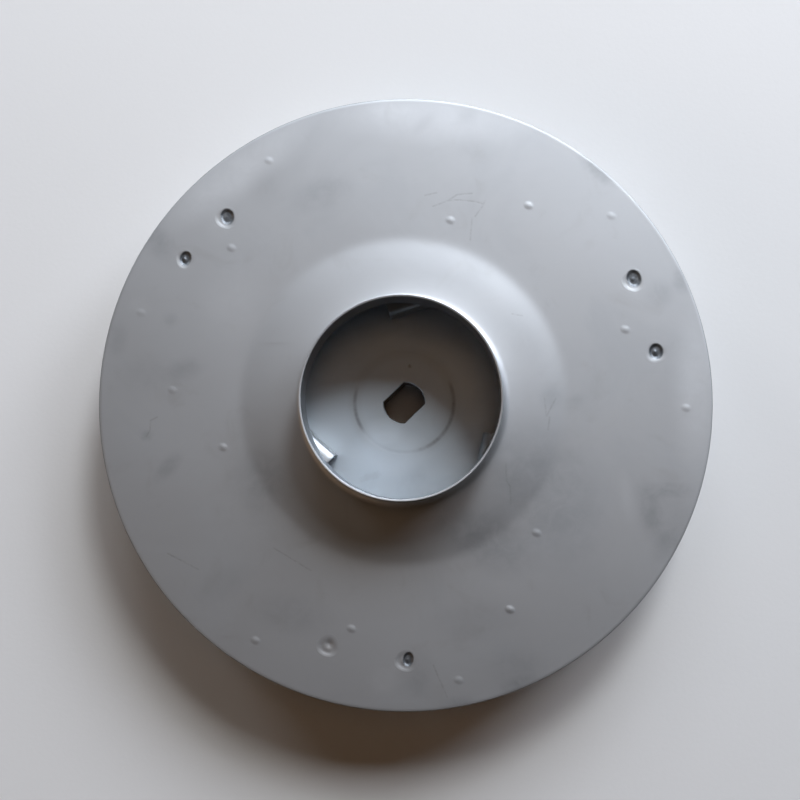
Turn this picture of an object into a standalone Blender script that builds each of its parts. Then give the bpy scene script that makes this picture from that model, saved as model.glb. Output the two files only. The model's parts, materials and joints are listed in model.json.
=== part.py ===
"""Closed impeller of a small centrifugal pump, pressed and welded from stainless steel sheet.

The front shroud is one pressing: a flat disc, a low dome and a drawn suction neck.
Three pressed double vanes stand between it and the flat back shroud, so there are six vane walls.
Each double vane has a flat web under the front shroud, two curved walls and two feet on the back shroud.
A low sloping shoulder joins each wall to the web.
A turned hub with a two-flat bore sits behind the back shroud.
+Z is the turning axis with the suction neck on top, and z = 0 is the hub's rear face.
Lengths are in metres and angles in degrees, counter-clockwise seen from the neck.
"""

import math

import bmesh
import bpy
import numpy as np

# Discs
DISC_RADIUS = 0.0790
FRONT_SHEET = 0.0010
BACK_SHEET = 0.0015
TURN_STEPS = 96

# Hub and its bore
HUB_RADIUS = 0.0130
HUB_LENGTH = 0.0090
HUB_CHAMFER = 0.0006
BORE_RADIUS = 0.0055
BORE_ACROSS_FLATS = 0.0080
BORE_TURN = 44.0

# Punched weld dents of the front shroud, as (radius in metres, angle in degrees)
DENTS = (
    (0.0660, 10.6),
    (0.0667, 27.3),
    (0.0665, 134.0),
    (0.0679, 146.9),
    (0.0655, 253.1),
    (0.0663, 270.7),
)
DENT_BOWL_RADIUS = 0.0021
DENT_BOWL_DEPTH = 0.00022
DENT_PIT_RADIUS = 0.0013
DENT_PIT_DEPTH = 0.00055

# Raised weld pips of the front shroud
PIPS = (
    (0.0484, 75.1),
    (0.0479, 194.5),
    (0.0481, 315.2),
    (0.0601, 57.1),
    (0.0598, 177.3),
    (0.0598, 297.1),
    (0.0719, 41.4),
    (0.0721, 161.3),
    (0.0724, 281.3),
    (0.0599, 17.5),
    (0.0600, 138.2),
    (0.0597, 257.4),
    (0.0723, 358.3),
    (0.0721, 119.1),
    (0.0720, 238.5),
)
PIP_RADIUS = 0.0011
PIP_HEIGHT = 0.00022

# Weld track round the hub, pressed into the front face of the back shroud
TRACK_RADIUS = 0.0130
TRACK_HALF_WIDTH = 0.0006
TRACK_DEPTH = 0.00025

# Heights along the axis
GAP = 0.0003
BACK_LOW = HUB_LENGTH + GAP
BACK_TOP = BACK_LOW + BACK_SHEET
FRONT_TOP = BACK_TOP + 0.0102
FRONT_MIDDLE = FRONT_TOP - FRONT_SHEET / 2
NECK_TOP = FRONT_TOP + 0.0142

# Suction neck and dome, along the middle of the sheet
NECK_RADIUS = 0.02505
NECK_FILLET = 0.0032
DOME_SLOPE = 5.4
DOME_FOOT_RADIUS = 0.0432
DOME_FOOT_BEND = 0.0300

# Double vanes, along the middle of the sheet
VANE_SHEET = 0.0008
VANE_BEND = 0.0012
SHOULDER_WIDTH = 0.0028
SHOULDER_HEIGHT = 0.0013
VANE_PITCH = 60.0
VANE_SETS = 3
VANE_TOP = FRONT_TOP - FRONT_SHEET - GAP - VANE_SHEET / 2
VANE_LOW = BACK_TOP + GAP + VANE_SHEET / 2
VANE_FOOT = 0.0060
VANE_OUTER = 0.0786
LONG_INNER = 0.0228
SHORT_INNER = 0.0285
WEB_INNER = 0.0264
VANE_STATIONS = 26
WEB_COLUMNS = 13
BEND_PIECES = 4
FOOT_FROM_RADIUS = 0.0330

# The long wall's path as (radius in metres, angle in degrees), from the eye to the rim
LONG_PATH = (
    (0.0228, 98.8),
    (0.0257, 78.8),
    (0.0330, 57.5),
    (0.0400, 42.5),
    (0.0481, 27.9),
    (0.0599, 7.35),
    (0.0721, -10.05),
    (0.0790, -18.9),
    (0.0870, -28.5),
)


def clear_scene():
    """Take out whatever the scene starts with."""
    for obj in list(bpy.data.objects):
        bpy.data.objects.remove(obj, do_unlink=True)


def new_collection(name, hidden):
    """A collection under the scene's own, left out of the render where it holds cutters."""
    collection = bpy.data.collections.new(name)
    bpy.context.scene.collection.children.link(collection)
    collection.hide_render = hidden
    return collection


def steel(name, colour, roughness):
    """A plain metal for one sub-part."""
    material = bpy.data.materials.new(name)
    material.use_nodes = True
    shader = material.node_tree.nodes["Principled BSDF"]
    shader.inputs["Base Color"].default_value = (*colour, 1.0)
    shader.inputs["Metallic"].default_value = 1.0
    shader.inputs["Roughness"].default_value = roughness
    material.diffuse_color = (*colour, 1.0)
    return material


def add_object(name, mesh, collection, material=None):
    """An object of this mesh in this collection."""
    obj = bpy.data.objects.new(name, mesh)
    collection.objects.link(obj)
    if material:
        mesh.materials.append(material)
    return obj


def turned(name, profile, collection, material):
    """A closed profile of (radius, height) turned once round Z. It runs down its outer side."""
    mesh = bpy.data.meshes.new(name)
    count = len(profile)
    edges = [(i, (i + 1) % count) for i in range(count)]
    mesh.from_pydata([(r, 0.0, z) for r, z in profile], edges, [])
    obj = add_object(name, mesh, collection, material)
    screw = obj.modifiers.new("turn", "SCREW")
    screw.axis = "Z"
    screw.angle = math.radians(360)
    screw.steps = TURN_STEPS
    screw.render_steps = TURN_STEPS
    screw.use_merge_vertices = True
    screw.merge_threshold = 0.00001
    screw.use_smooth_shade = True
    return obj


def apply_modifiers(obj):
    """Swap the object's mesh for the one its modifiers make."""
    graph = bpy.context.evaluated_depsgraph_get()
    mesh = bpy.data.meshes.new_from_object(obj.evaluated_get(graph))
    obj.modifiers.clear()
    obj.data = mesh


def smooth_by_angle(obj, degrees):
    """Smooth faces with the edges sharper than this angle kept sharp."""
    obj.data.shade_smooth()
    obj.data.set_sharp_from_angle(angle=math.radians(degrees))


def arc(centre_r, centre_z, radius, start, end, pieces):
    """Points on an arc with the direction to its centre, as (r, z, toward r, toward z)."""
    points = []
    for angle in np.radians(np.linspace(start, end, pieces + 1)):
        c, s = math.cos(angle), math.sin(angle)
        points.append((centre_r + radius * c, centre_z + radius * s, -c, -s))
    return points


def front_middle_line():
    """The middle of the front shroud's sheet, from the neck's mouth to the rim, with its outward side."""
    slope = math.radians(DOME_SLOPE)
    foot_r = DOME_FOOT_RADIUS - DOME_FOOT_BEND * math.sin(slope)
    foot_z = FRONT_MIDDLE + DOME_FOOT_BEND * (1 - math.cos(slope))
    head_r = NECK_RADIUS + NECK_FILLET * (1 - math.sin(slope))
    head_z = foot_z + (foot_r - head_r) * math.tan(slope)
    neck_z = head_z + NECK_FILLET * math.cos(slope)
    line = [(NECK_RADIUS, NECK_TOP, 1.0, 0.0)]
    line += arc(NECK_RADIUS + NECK_FILLET, neck_z, NECK_FILLET, 180, 270 - DOME_SLOPE, 8)
    foot_centre = FRONT_MIDDLE + DOME_FOOT_BEND
    line += arc(DOME_FOOT_RADIUS, foot_centre, DOME_FOOT_BEND, 270 - DOME_SLOPE, 270, 4)
    line.append((DISC_RADIUS, FRONT_MIDDLE, 0.0, 1.0))
    return line


def plan_point(radius, angle, height):
    """A point at this radius, angle in degrees and height."""
    turn = math.radians(angle)
    return (radius * math.cos(turn), radius * math.sin(turn), height)


def make_dent_cutter(collection):
    """One cutter with a bowl and a steeper pit at every punched weld dent."""
    bm = bmesh.new()
    rings = (
        (DENT_BOWL_RADIUS * 1.4, DENT_BOWL_DEPTH),
        (DENT_BOWL_RADIUS, 0.0),
        ((DENT_BOWL_RADIUS + DENT_PIT_RADIUS) / 2, -DENT_BOWL_DEPTH * 0.75),
        (DENT_PIT_RADIUS * 1.15, -DENT_BOWL_DEPTH),
        (DENT_PIT_RADIUS * 0.75, -DENT_PIT_DEPTH),
    )
    for radius, angle in DENTS:
        x, y, z = plan_point(radius, angle, FRONT_TOP)
        stack = []
        for ring_radius, height in rings:
            made = bmesh.ops.create_circle(bm, segments=16, radius=ring_radius)["verts"]
            bmesh.ops.translate(bm, verts=made, vec=(x, y, z + height))
            stack.append(made)
        for upper, lower in zip(stack, stack[1:]):
            for i in range(len(upper)):
                j = (i + 1) % len(upper)
                bm.faces.new((upper[i], upper[j], lower[j], lower[i]))
        bm.faces.new(stack[0])
        bm.faces.new(stack[-1])
    bmesh.ops.recalc_face_normals(bm, faces=bm.faces)
    mesh = bpy.data.meshes.new("dent_cutter")
    bm.to_mesh(mesh)
    bm.free()
    cutter = add_object("dent_cutter", mesh, collection)
    cutter.hide_render = True
    cutter.display_type = "WIRE"
    return cutter


def make_pip_shape(collection):
    """Flattened balls that stand half out of the sheet at every weld pip, to be joined to it."""
    bm = bmesh.new()
    for radius, angle in PIPS:
        made = bmesh.ops.create_uvsphere(bm, u_segments=12, v_segments=6, radius=1.0)["verts"]
        bmesh.ops.scale(bm, verts=made, vec=(PIP_RADIUS, PIP_RADIUS, PIP_HEIGHT))
        bmesh.ops.translate(bm, verts=made, vec=plan_point(radius, angle, FRONT_TOP))
    mesh = bpy.data.meshes.new("pip_shape")
    bm.to_mesh(mesh)
    bm.free()
    shape = add_object("pip_shape", mesh, collection)
    shape.hide_render = True
    shape.display_type = "WIRE"
    return shape


def combine(obj, other, operation):
    """Apply one exact Boolean to this piece."""
    step = obj.modifiers.new(other.name, "BOOLEAN")
    step.operation = operation
    step.solver = "EXACT"
    step.object = other
    bpy.context.view_layer.update()
    apply_modifiers(obj)


def make_front_shroud(collection, cutters, material):
    """One pressing: flat disc, low dome and drawn neck of even thickness, with its weld dents and pips."""
    half = FRONT_SHEET / 2
    ease = 0.00015
    line = front_middle_line()
    outside = [(r + half * nr, z + half * nz) for r, z, nr, nz in line]
    inside = [(r - half * nr, z - half * nz) for r, z, nr, nz in line]
    mouth_r, mouth_z = outside[0]
    throat_r, throat_z = inside[0]
    rim_r, rim_top = outside[-1]
    rim_low = inside[-1][1]
    profile = [(throat_r + ease, throat_z), (mouth_r - ease, mouth_z), (mouth_r, mouth_z - ease)]
    profile += outside[1:-1]
    profile += [(rim_r - ease, rim_top), (rim_r, rim_top - ease)]
    profile += [(rim_r, rim_low + ease), (rim_r - ease, rim_low)]
    profile += inside[-2:0:-1]
    profile.append((throat_r, throat_z - ease))
    obj = turned("front_shroud", profile, collection, material)
    apply_modifiers(obj)
    combine(obj, make_pip_shape(cutters), "UNION")
    combine(obj, make_dent_cutter(cutters), "DIFFERENCE")
    smooth_by_angle(obj, 30)
    return obj


def bore_outline():
    """Corners of the bore, a circle cut by two parallel flats."""
    flat = BORE_ACROSS_FLATS / 2
    reach = math.degrees(math.asin(flat / BORE_RADIUS))
    points = []
    for middle in (0, 180):
        for angle in np.linspace(middle - reach, middle + reach, 9):
            turn = math.radians(angle + BORE_TURN)
            points.append((BORE_RADIUS * math.cos(turn), BORE_RADIUS * math.sin(turn)))
    return points


def make_bore_cutter(collection):
    """A prism of the bore's outline that passes right through hub and back shroud."""
    curve = bpy.data.curves.new("bore_cutter", "CURVE")
    curve.dimensions = "2D"
    curve.fill_mode = "BOTH"
    curve.extrude = HUB_LENGTH
    points = bore_outline()
    spline = curve.splines.new("POLY")
    spline.points.add(len(points) - 1)
    for point, (x, y) in zip(spline.points, points):
        point.co = (x, y, 0.0, 1.0)
    spline.use_cyclic_u = True
    shape = bpy.data.objects.new("bore_curve", curve)
    mesh = bpy.data.meshes.new_from_object(shape)
    bpy.data.objects.remove(shape)
    bm = bmesh.new()
    bm.from_mesh(mesh)
    bmesh.ops.remove_doubles(bm, verts=bm.verts, dist=0.000001)
    bmesh.ops.recalc_face_normals(bm, faces=bm.faces)
    bm.to_mesh(mesh)
    bm.free()
    cutter = add_object("bore_cutter", mesh, collection)
    cutter.location = (0.0, 0.0, BACK_TOP / 2)
    cutter.hide_render = True
    cutter.display_type = "WIRE"
    return cutter


def make_back_shroud(collection, material, cutter):
    """A flat disc with the weld track of the hub pressed into its front face."""
    pilot = BORE_ACROSS_FLATS / 4
    ease = 0.00015
    profile = [
        (pilot, BACK_TOP),
        (TRACK_RADIUS - TRACK_HALF_WIDTH, BACK_TOP),
        (TRACK_RADIUS, BACK_TOP - TRACK_DEPTH),
        (TRACK_RADIUS + TRACK_HALF_WIDTH, BACK_TOP),
        (DISC_RADIUS - ease, BACK_TOP),
        (DISC_RADIUS, BACK_TOP - ease),
        (DISC_RADIUS, BACK_LOW + ease),
        (DISC_RADIUS - ease, BACK_LOW),
        (pilot, BACK_LOW),
    ]
    obj = turned("back_shroud", profile, collection, material)
    combine(obj, cutter, "DIFFERENCE")
    smooth_by_angle(obj, 30)
    return obj


def make_hub(collection, material, cutter):
    """A short turned boss with chamfered rims behind the back shroud."""
    pilot = BORE_ACROSS_FLATS / 4
    profile = [
        (pilot, HUB_LENGTH),
        (HUB_RADIUS - HUB_CHAMFER, HUB_LENGTH),
        (HUB_RADIUS, HUB_LENGTH - HUB_CHAMFER),
        (HUB_RADIUS, HUB_CHAMFER),
        (HUB_RADIUS - HUB_CHAMFER, 0.0),
        (pilot, 0.0),
    ]
    obj = turned("hub", profile, collection, material)
    combine(obj, cutter, "DIFFERENCE")
    smooth_by_angle(obj, 30)
    return obj


def wall_path(inner, turn):
    """Close-set plan points of one wall from this inner radius to past the rim, and its side away from the web."""
    knots = [
        (r * math.cos(math.radians(a + turn)), r * math.sin(math.radians(a + turn)))
        for r, a in LONG_PATH
    ]
    knots = np.array(knots)
    knots = np.vstack([2 * knots[0] - knots[1], knots, 2 * knots[-1] - knots[-2]])
    points = []
    for a, b, c, d in zip(knots[:-3], knots[1:-2], knots[2:-1], knots[3:]):
        for t in np.linspace(0, 1, 60, endpoint=False):
            straight = 2 * b + (c - a) * t
            bent = (2 * a - 5 * b + 4 * c - d) * t**2 + (3 * b - a - 3 * c + d) * t**3
            points.append(0.5 * (straight + bent))
    points = np.array(points)
    points = points[np.hypot(points[:, 0], points[:, 1]) >= inner]
    along = np.gradient(points, axis=0)
    along /= np.linalg.norm(along, axis=1)[:, None]
    return points, np.column_stack([along[:, 1], -along[:, 0]])


def column(points, side, sideways, height):
    """A line of stations beside the path at this distance and height, cut off round at the vanes' outer radius."""
    line = points + side * sideways
    line = line[np.hypot(line[:, 0], line[:, 1]) <= VANE_OUTER]
    run = np.concatenate([[0.0], np.cumsum(np.linalg.norm(np.diff(line, axis=0), axis=1))])
    at = run[-1] * np.linspace(0, 1, VANE_STATIONS) ** 1.1
    return np.column_stack(
        [np.interp(at, run, line[:, 0]), np.interp(at, run, line[:, 1]), np.full(len(at), height)]
    )


def leg_columns(points, side):
    """One wall as columns of stations, from its foot's free edge up over its shoulder to the flat web."""
    bend = VANE_BEND
    quarter = np.radians(np.linspace(0, 90, BEND_PIECES + 1))
    bent = [column(points, side, VANE_FOOT, VANE_LOW)]
    straight = [column(points, side, 0.0, VANE_LOW)]
    for t in quarter:
        bent.append(column(points, side, bend * (1 - math.sin(t)), VANE_LOW + bend * (1 - math.cos(t))))
        straight.append(column(points, side, 0.0, VANE_LOW + bend * t / quarter[-1]))
    radii = np.hypot(straight[0][:, 0], straight[0][:, 1])
    has_foot = radii >= FOOT_FROM_RADIUS
    columns = [np.where(has_foot[:, None], a, b) for a, b in zip(bent, straight)]
    for t in quarter:
        beside, drop = SHOULDER_WIDTH * (1 - math.cos(t)), SHOULDER_HEIGHT * (1 - math.sin(t))
        columns.append(column(points, side, -beside, VANE_TOP - drop))
    return columns, has_foot


def web_columns(first, last):
    """Columns of stations across the flat web, between its two shoulders and from its inner edge to the rim."""
    columns = []
    first_r, first_a = np.hypot(first[:, 0], first[:, 1]), np.unwrap(np.arctan2(first[:, 1], first[:, 0]))
    last_r, last_a = np.hypot(last[:, 0], last[:, 1]), np.arctan2(last[:, 1], last[:, 0])
    turn = (last_a - first_a) % (2 * math.pi)
    for t in np.linspace(0, 1, WEB_COLUMNS + 2)[1:-1]:
        line_r = first_r + (last_r - first_r) * t
        line_a = first_a + turn * t
        inner = max(WEB_INNER, line_r[0])
        r = inner + (line_r[-1] - inner) * np.linspace(0, 1, VANE_STATIONS) ** 1.1
        a = np.interp(r, line_r, line_a)
        columns.append(np.column_stack([r * np.cos(a), r * np.sin(a), np.full(len(r), VANE_TOP)]))
    return columns


def make_vane_pair(number, collection, material):
    """One pressed sheet: a long wall and a short wall under a common flat web, with feet on the outside."""
    turn = (number - 1) * 360 / VANE_SETS
    long_points, long_side = wall_path(LONG_INNER, turn)
    short_points, short_side = wall_path(SHORT_INNER, turn + VANE_PITCH)
    long_leg, long_foot = leg_columns(long_points, long_side)
    short_leg, short_foot = leg_columns(short_points, -short_side)
    columns = long_leg + web_columns(long_leg[-1], short_leg[-1]) + short_leg[::-1]

    bm = bmesh.new()
    grid = [[bm.verts.new(point) for point in line] for line in columns]
    for k in range(len(columns) - 1):
        for i in range(VANE_STATIONS - 1):
            if k == 0 and not (long_foot[i] and long_foot[i + 1]):
                continue
            if k == len(columns) - 2 and not (short_foot[i] and short_foot[i + 1]):
                continue
            bm.faces.new((grid[k][i], grid[k][i + 1], grid[k + 1][i + 1], grid[k + 1][i]))
    bmesh.ops.delete(bm, geom=[v for v in bm.verts if not v.link_faces], context="VERTS")
    bmesh.ops.recalc_face_normals(bm, faces=bm.faces)
    name = f"vane_pair_{number}"
    mesh = bpy.data.meshes.new(name)
    bm.to_mesh(mesh)
    bm.free()
    obj = add_object(name, mesh, collection, material)
    thick = obj.modifiers.new("sheet", "SOLIDIFY")
    thick.thickness = VANE_SHEET
    thick.offset = 0.0
    thick.use_even_offset = True
    thick.use_rim = True
    apply_modifiers(obj)
    smooth_by_angle(obj, 35)
    return obj


def main():
    clear_scene()
    parts = new_collection("pump_impeller", hidden=False)
    cutters = new_collection("cutters", hidden=True)
    satin = steel("satin_stainless", (0.55, 0.58, 0.61), 0.38)
    mill = steel("mill_stainless", (0.50, 0.53, 0.56), 0.34)
    vane = steel("vane_stainless", (0.52, 0.54, 0.56), 0.36)
    turned_steel = steel("turned_stainless", (0.56, 0.56, 0.55), 0.28)
    cutter = make_bore_cutter(cutters)
    make_front_shroud(parts, cutters, satin)
    make_back_shroud(parts, mill, cutter)
    for number in range(1, VANE_SETS + 1):
        make_vane_pair(number, parts, vane)
    make_hub(parts, turned_steel, cutter)


main()
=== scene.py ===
"""Dresses the packed model of a closed centrifugal pump impeller: fine meshes, steel finishes, stage and camera.

The impeller is pressed and welded from stainless steel sheet. +Z is its turning axis with the suction neck on
top, z = 0 is the hub's rear face, and every length is in metres. Each CAD node is replaced by a finer mesh of the
same form, with the weld marks, eased edges and slight waviness that real sheet has.
"""

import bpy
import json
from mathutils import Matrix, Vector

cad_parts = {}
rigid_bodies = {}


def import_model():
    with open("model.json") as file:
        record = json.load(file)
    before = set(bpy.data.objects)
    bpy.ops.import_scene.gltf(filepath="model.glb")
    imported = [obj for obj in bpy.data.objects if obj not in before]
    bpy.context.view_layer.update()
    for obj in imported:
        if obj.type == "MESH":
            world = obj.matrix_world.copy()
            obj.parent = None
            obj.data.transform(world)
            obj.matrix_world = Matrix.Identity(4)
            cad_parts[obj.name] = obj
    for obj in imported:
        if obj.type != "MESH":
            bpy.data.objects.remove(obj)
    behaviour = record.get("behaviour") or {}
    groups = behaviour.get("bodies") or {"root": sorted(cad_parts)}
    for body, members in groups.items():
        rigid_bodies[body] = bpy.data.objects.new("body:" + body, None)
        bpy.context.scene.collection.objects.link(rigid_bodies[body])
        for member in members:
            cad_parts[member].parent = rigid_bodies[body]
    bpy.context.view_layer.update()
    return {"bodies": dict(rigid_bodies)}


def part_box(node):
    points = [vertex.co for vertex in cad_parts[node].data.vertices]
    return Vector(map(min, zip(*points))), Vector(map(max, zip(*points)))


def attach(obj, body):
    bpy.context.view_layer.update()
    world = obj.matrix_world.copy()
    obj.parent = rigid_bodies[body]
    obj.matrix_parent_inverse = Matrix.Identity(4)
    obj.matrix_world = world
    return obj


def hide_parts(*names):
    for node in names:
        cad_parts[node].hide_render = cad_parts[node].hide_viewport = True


bl_info = {
    "name": "Pump impeller dressing",
    "version": (1, 0, 0),
    "blender": (4, 5, 0),
    "location": "3D View > Sidebar > Impeller",
    "description": "Builds the visual model of a pressed sheet steel pump impeller round its CAD frame",
    "category": "Add Mesh",
}

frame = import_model()

import functools
import json
import math

import bmesh
import bpy
import numpy as np
from bpy.props import FloatProperty, FloatVectorProperty, IntProperty, PointerProperty
from mathutils import Matrix, Vector
from mathutils.geometry import delaunay_2d_cdt

BODY = next(iter(frame["bodies"]))
MM = 0.001

# Sizes that the frame's own boxes give
FRONT_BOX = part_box("front_shroud")
BACK_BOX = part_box("back_shroud")
HUB_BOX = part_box("hub")
DISC_RADIUS = FRONT_BOX[1].x
NECK_TOP = FRONT_BOX[1].z
BACK_LOW = BACK_BOX[0].z
BACK_TOP = BACK_BOX[1].z
HUB_RADIUS = HUB_BOX[1].x

# Sheet of the front shroud: flat ring, low dome, fillet and drawn neck, along the middle of the sheet
FRONT_SHEET = 1.0 * MM
FRONT_LOW = 20.0 * MM
FRONT_TOP = FRONT_LOW + FRONT_SHEET
FRONT_MIDDLE = FRONT_LOW + FRONT_SHEET / 2
NECK_RADIUS = 25.05 * MM
NECK_FILLET = 3.2 * MM
RING_INNER = 45.0 * MM
RING_OUTER = 78.2 * MM

# The drawn neck: the mouth's radii inside and outside, how far its inner edge lies under the outer one, how much
# thinner its wall is than the sheet, how far it stands off the axis, and by what share it is narrower along X. The
# last two fade out between the radii of NECK_FOOT
MOUTH_RADII = (24.98 * MM, 25.50 * MM)
MOUTH_SINK = 0.10 * MM
NECK_THINNING = 0.40 * MM
NECK_SHIFT = (0.07 * MM, -0.21 * MM)
NECK_OVAL = 0.012
NECK_FOOT = (30.0 * MM, 44.0 * MM)

# The burnish of the inner wall, and the painted shade that darkens it, end between these distances outside the
# mouth's inner radius, and grow from the flat up to this height over it
DRAWN_EDGE = (0.02 * MM, 0.08 * MM)
DRAWN_FADE = 1.5 * MM

# Eased edges, and how far the front sheet's top droops from a radius on to its rim
MOUTH_EASE = 0.05 * MM
THROAT_EASE = 0.18 * MM
FRONT_RIM_EASE = 0.07 * MM
BACK_RIM_EASE = 0.12 * MM
BORE_EASE = 0.15 * MM
HUB_BORE_EASE = 0.25 * MM
HUB_CHAMFER = 0.6 * MM
HUB_CHAMFER_EASE = 0.08 * MM
VANE_EASE = 0.12 * MM
EDGE_DROOP = 0.03 * MM
DROOP_FROM = 66.0 * MM

# Waves of the front sheet as (height in mm, radians a metre along X, the same along Y, phase), and where they begin
SHEET_WAVES = (
    (0.030, 95, 38, 0.7),
    (0.026, -52, 103, 2.1),
    (0.016, 160, -120, 4.0),
    (0.012, 150, 170, 1.2),
)
WAVES_FROM = (30.0 * MM, 46.0 * MM)

# How finely the pieces are meshed: points along the neck, loops across a disc and along the hub, columns across a
# vane's web, points between two knots of a vane's path, and how its stations crowd toward its inner end
NECK_PIECES = 16
DISC_LOOPS = 14
HUB_LOOPS = 5
WEB_COLUMNS = 30
PATH_PIECES = 60
STATION_POWER = 1.1

# Mesh of the flat rings in mm: spacing of the points, height of a row over the spacing, and rings round a feature as
# (reach, points round it, step), with a margin outside the reach in which its shape still counts, and the room to
# the next points as a share of their spacing
FRONT_SPACING = 1.3
REAR_SPACING = 3.0
ROW_STEP = 0.866
DENT_MESH = (3.4, 48, 0.13)
PIP_MESH = (1.6, 30, 0.14)
REAR_WELD_MESH = (2.6, 28, 0.2)
FEATURE_MARGIN = 0.05
FEATURE_ROOM = 0.4

# The radius that puts a point of a profile on the bore's wall, as add_turned() takes it
ON_WALL = -1e-9

# Edges sharper than these, in degrees, are shaded sharp, and a vane's are eased from the last one on
DISC_SHARP_FROM = 40
VANE_SHARP_FROM = 35
HUB_SHARP_FROM = 25
VANE_EASE_FROM = 50

# How steeply the dome falls, from its fillet to the flat, as (radius in mm, slope in degrees)
DOME_SLOPES = (
    (27.8, 8.0), (28.7, 6.4), (29.7, 5.5), (30.8, 5.0), (31.8, 4.8),
    (33.8, 4.8), (35.9, 5.3), (37.9, 6.0), (40.0, 6.1), (41.0, 5.2),
    (42.1, 2.4), (43.1, 0.4), (44.0, 0.0),
)

# Inner edge of the back shroud's flat ring behind, and loops between it and the bore
REAR_INNER = 14.0 * MM
INNER_LOOP = 9.0 * MM
FRONT_LOOPS = (8.0 * MM, 10.5 * MM)

# Bore with two flats, and the weld track round it, with its reach in half widths and its loops
BORE_RADIUS = 5.5 * MM
BORE_HALF_FLATS = 4.0 * MM
BORE_TURN = 44.0
TRACK_RADIUS = 13.25 * MM
TRACK_HALF_WIDTH = 0.42 * MM
TRACK_DEPTH = 0.014 * MM
TRACK_REACH = 2.0
TRACK_LOOPS = 19

# Parts of the weld track that are darkened, as (direction of the middle, half length), and how far they fade at
# their ends, in degrees
TRACK_ARCS = (
    (189.5, 23.0),
    (315.5, 66.0),
)
ARC_FADE = 9.0

# Double vanes, along the middle of the sheet, and the gaps to the pieces behind and before them
BACK_GAP = 0.02 * MM
FRONT_GAP = 0.07 * MM
VANE_SHEET = 0.8 * MM
VANE_BEND = 1.2 * MM
SHOULDER_WIDTH = 2.8 * MM
SHOULDER_HEIGHT = 1.3 * MM
VANE_PITCH = 60.0
VANE_SETS = 3
VANE_FOOT = 6.0 * MM
VANE_OUTER = 78.6 * MM
LONG_INNER = 22.8 * MM
SHORT_INNER = 28.5 * MM
WEB_INNER = 26.4 * MM
FOOT_FROM_RADIUS = 33.0 * MM
LONG_PATH = (
    (0.0228, 98.8), (0.0257, 78.8), (0.0330, 57.5), (0.0400, 42.5), (0.0481, 27.9),
    (0.0599, 7.35), (0.0721, -10.05), (0.0790, -18.9), (0.0870, -28.5),
)

# Dark flecks on the back shroud's front face as (x, y, reach x, reach y, turn, strength), in mm and degrees
BACK_FLECKS = (
    (1.4, 9.9, 0.7, 0.9, 0.0, 0.40),
    (-9.0, -19.5, 2.6, 1.2, 10.0, 0.07),
)

# Painted light: brighter places on the back shroud's front face where the light through the neck falls, in the same
# units
BACK_PAINTED_LIGHT = (
    (-4.0, -13.5, 12.0, 7.5, 0.0, 0.80),
    (-5.5, -7.5, 6.5, 4.0, 0.0, 0.55),
)

# Painted shade on the inner tips of two vanes, where the neck's shadow falls, as (x, y, reach x, reach y, turn,
# strength), in mm and degrees
VANE_TIP_SHADE = (
    (0.0, 24.5, 12.0, 5.0, 0.0, 0.24),
    (22.5, -9.0, 6.0, 9.0, 0.0, 0.12),
)

# Punched weld dents as (radius, angle, bowl radius, pit radius, pit shift x, pit shift y, nub height, direction of
# the steep side), in mm and degrees
DENTS = (
    (66.0, 10.6, 2.70, 1.58, 0.0, 0.2, 0.26, 240.0),
    (66.7, 27.3, 2.95, 1.70, 0.2, 0.6, 0.12, 250.0),
    (66.5, 134.0, 2.95, 1.62, 0.3, 0.4, 0.04, 232.0),
    (67.9, 146.9, 2.50, 1.42, 0.1, 0.2, 0.22, 235.0),
    (65.5, 253.1, 2.90, 0.00, 0.4, 0.5, 0.00, 250.0),
    (66.3, 270.7, 2.90, 1.30, 0.6, 0.4, 0.08, 205.0),
)
DENT_BOWL_DEPTH = 0.100
DENT_PIT_DEPTH = 0.30
DENT_SHALLOW_DEPTH = 0.15
DENT_RIPPLE = 0.004
DENT_LIP = 0.012
DENT_HEAT_REACH = 1.7

# How uneven the outlines of a bowl and its pit are, how much steeper the bowl is on one side, and how much wider the
# pit is across than along
BOWL_UNEVEN = 0.05
PIT_UNEVEN = 0.07
BOWL_STEEPER = 0.60
PIT_SQUEEZE = 0.76

# Raised weld pips as (radius, angle, share of the full height), in mm and degrees, and their form
PIPS = (
    (48.4, 75.1, 0.9), (47.9, 194.5, 0.9), (48.1, 315.2, 0.9), (60.1, 57.1, 1.0), (59.8, 177.3, 0.5),
    (59.8, 297.1, 1.4), (71.9, 41.4, 0.5), (72.1, 161.3, 0.4), (72.4, 281.3, 0.7), (59.9, 17.5, 0.9),
    (60.0, 138.2, 0.7), (59.7, 257.4, 1.0), (72.3, 358.3, 0.7), (72.1, 119.1, 0.6), (72.0, 238.5, 0.9),
)
PIP_RADIUS = 1.55
PIP_HEIGHT = 0.085
PIP_SQUEEZE = 1.22
PIP_SKEW = 0.15
PIP_ROUNDNESS = 2.2

# Soft lights as (tilt off the vertical, direction, power), in degrees and watts: a broad cool bank at the far side,
# and faint warm light from elsewhere. The sizes are shares of the width of a light
LIGHT_DISTANCE = 1.3
LIGHT_SIZES = {"sky": 1.0, "cool": 0.72, "warm": 1.0}
SOFT_LIGHTS = {
    "sky": ((60, 45, 5.45), (60, 70, 7.60), (60, 95, 3.10), (76, 45, 3.25)),
    "cool": ((46, 70, 5.60), (45, 95, 0.20), (76, 130, 3.40)),
    "warm": ((12, 70, 0.36), (60, 210, 0.45), (76, 180, 0.75), (76, 240, 0.24)),
}

# Radii of the weld dimples on the back face, and how far they lie beside the wall
REAR_WELD_RADII = (48.0, 60.0, 72.0)
REAR_WELD_BESIDE = 3.4 * MM
REAR_WELD_RADIUS = 1.7
REAR_WELD_DEPTH = 0.09
REAR_WELD_LIP = 0.02
REAR_HEAT_REACH = 1.5

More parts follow.
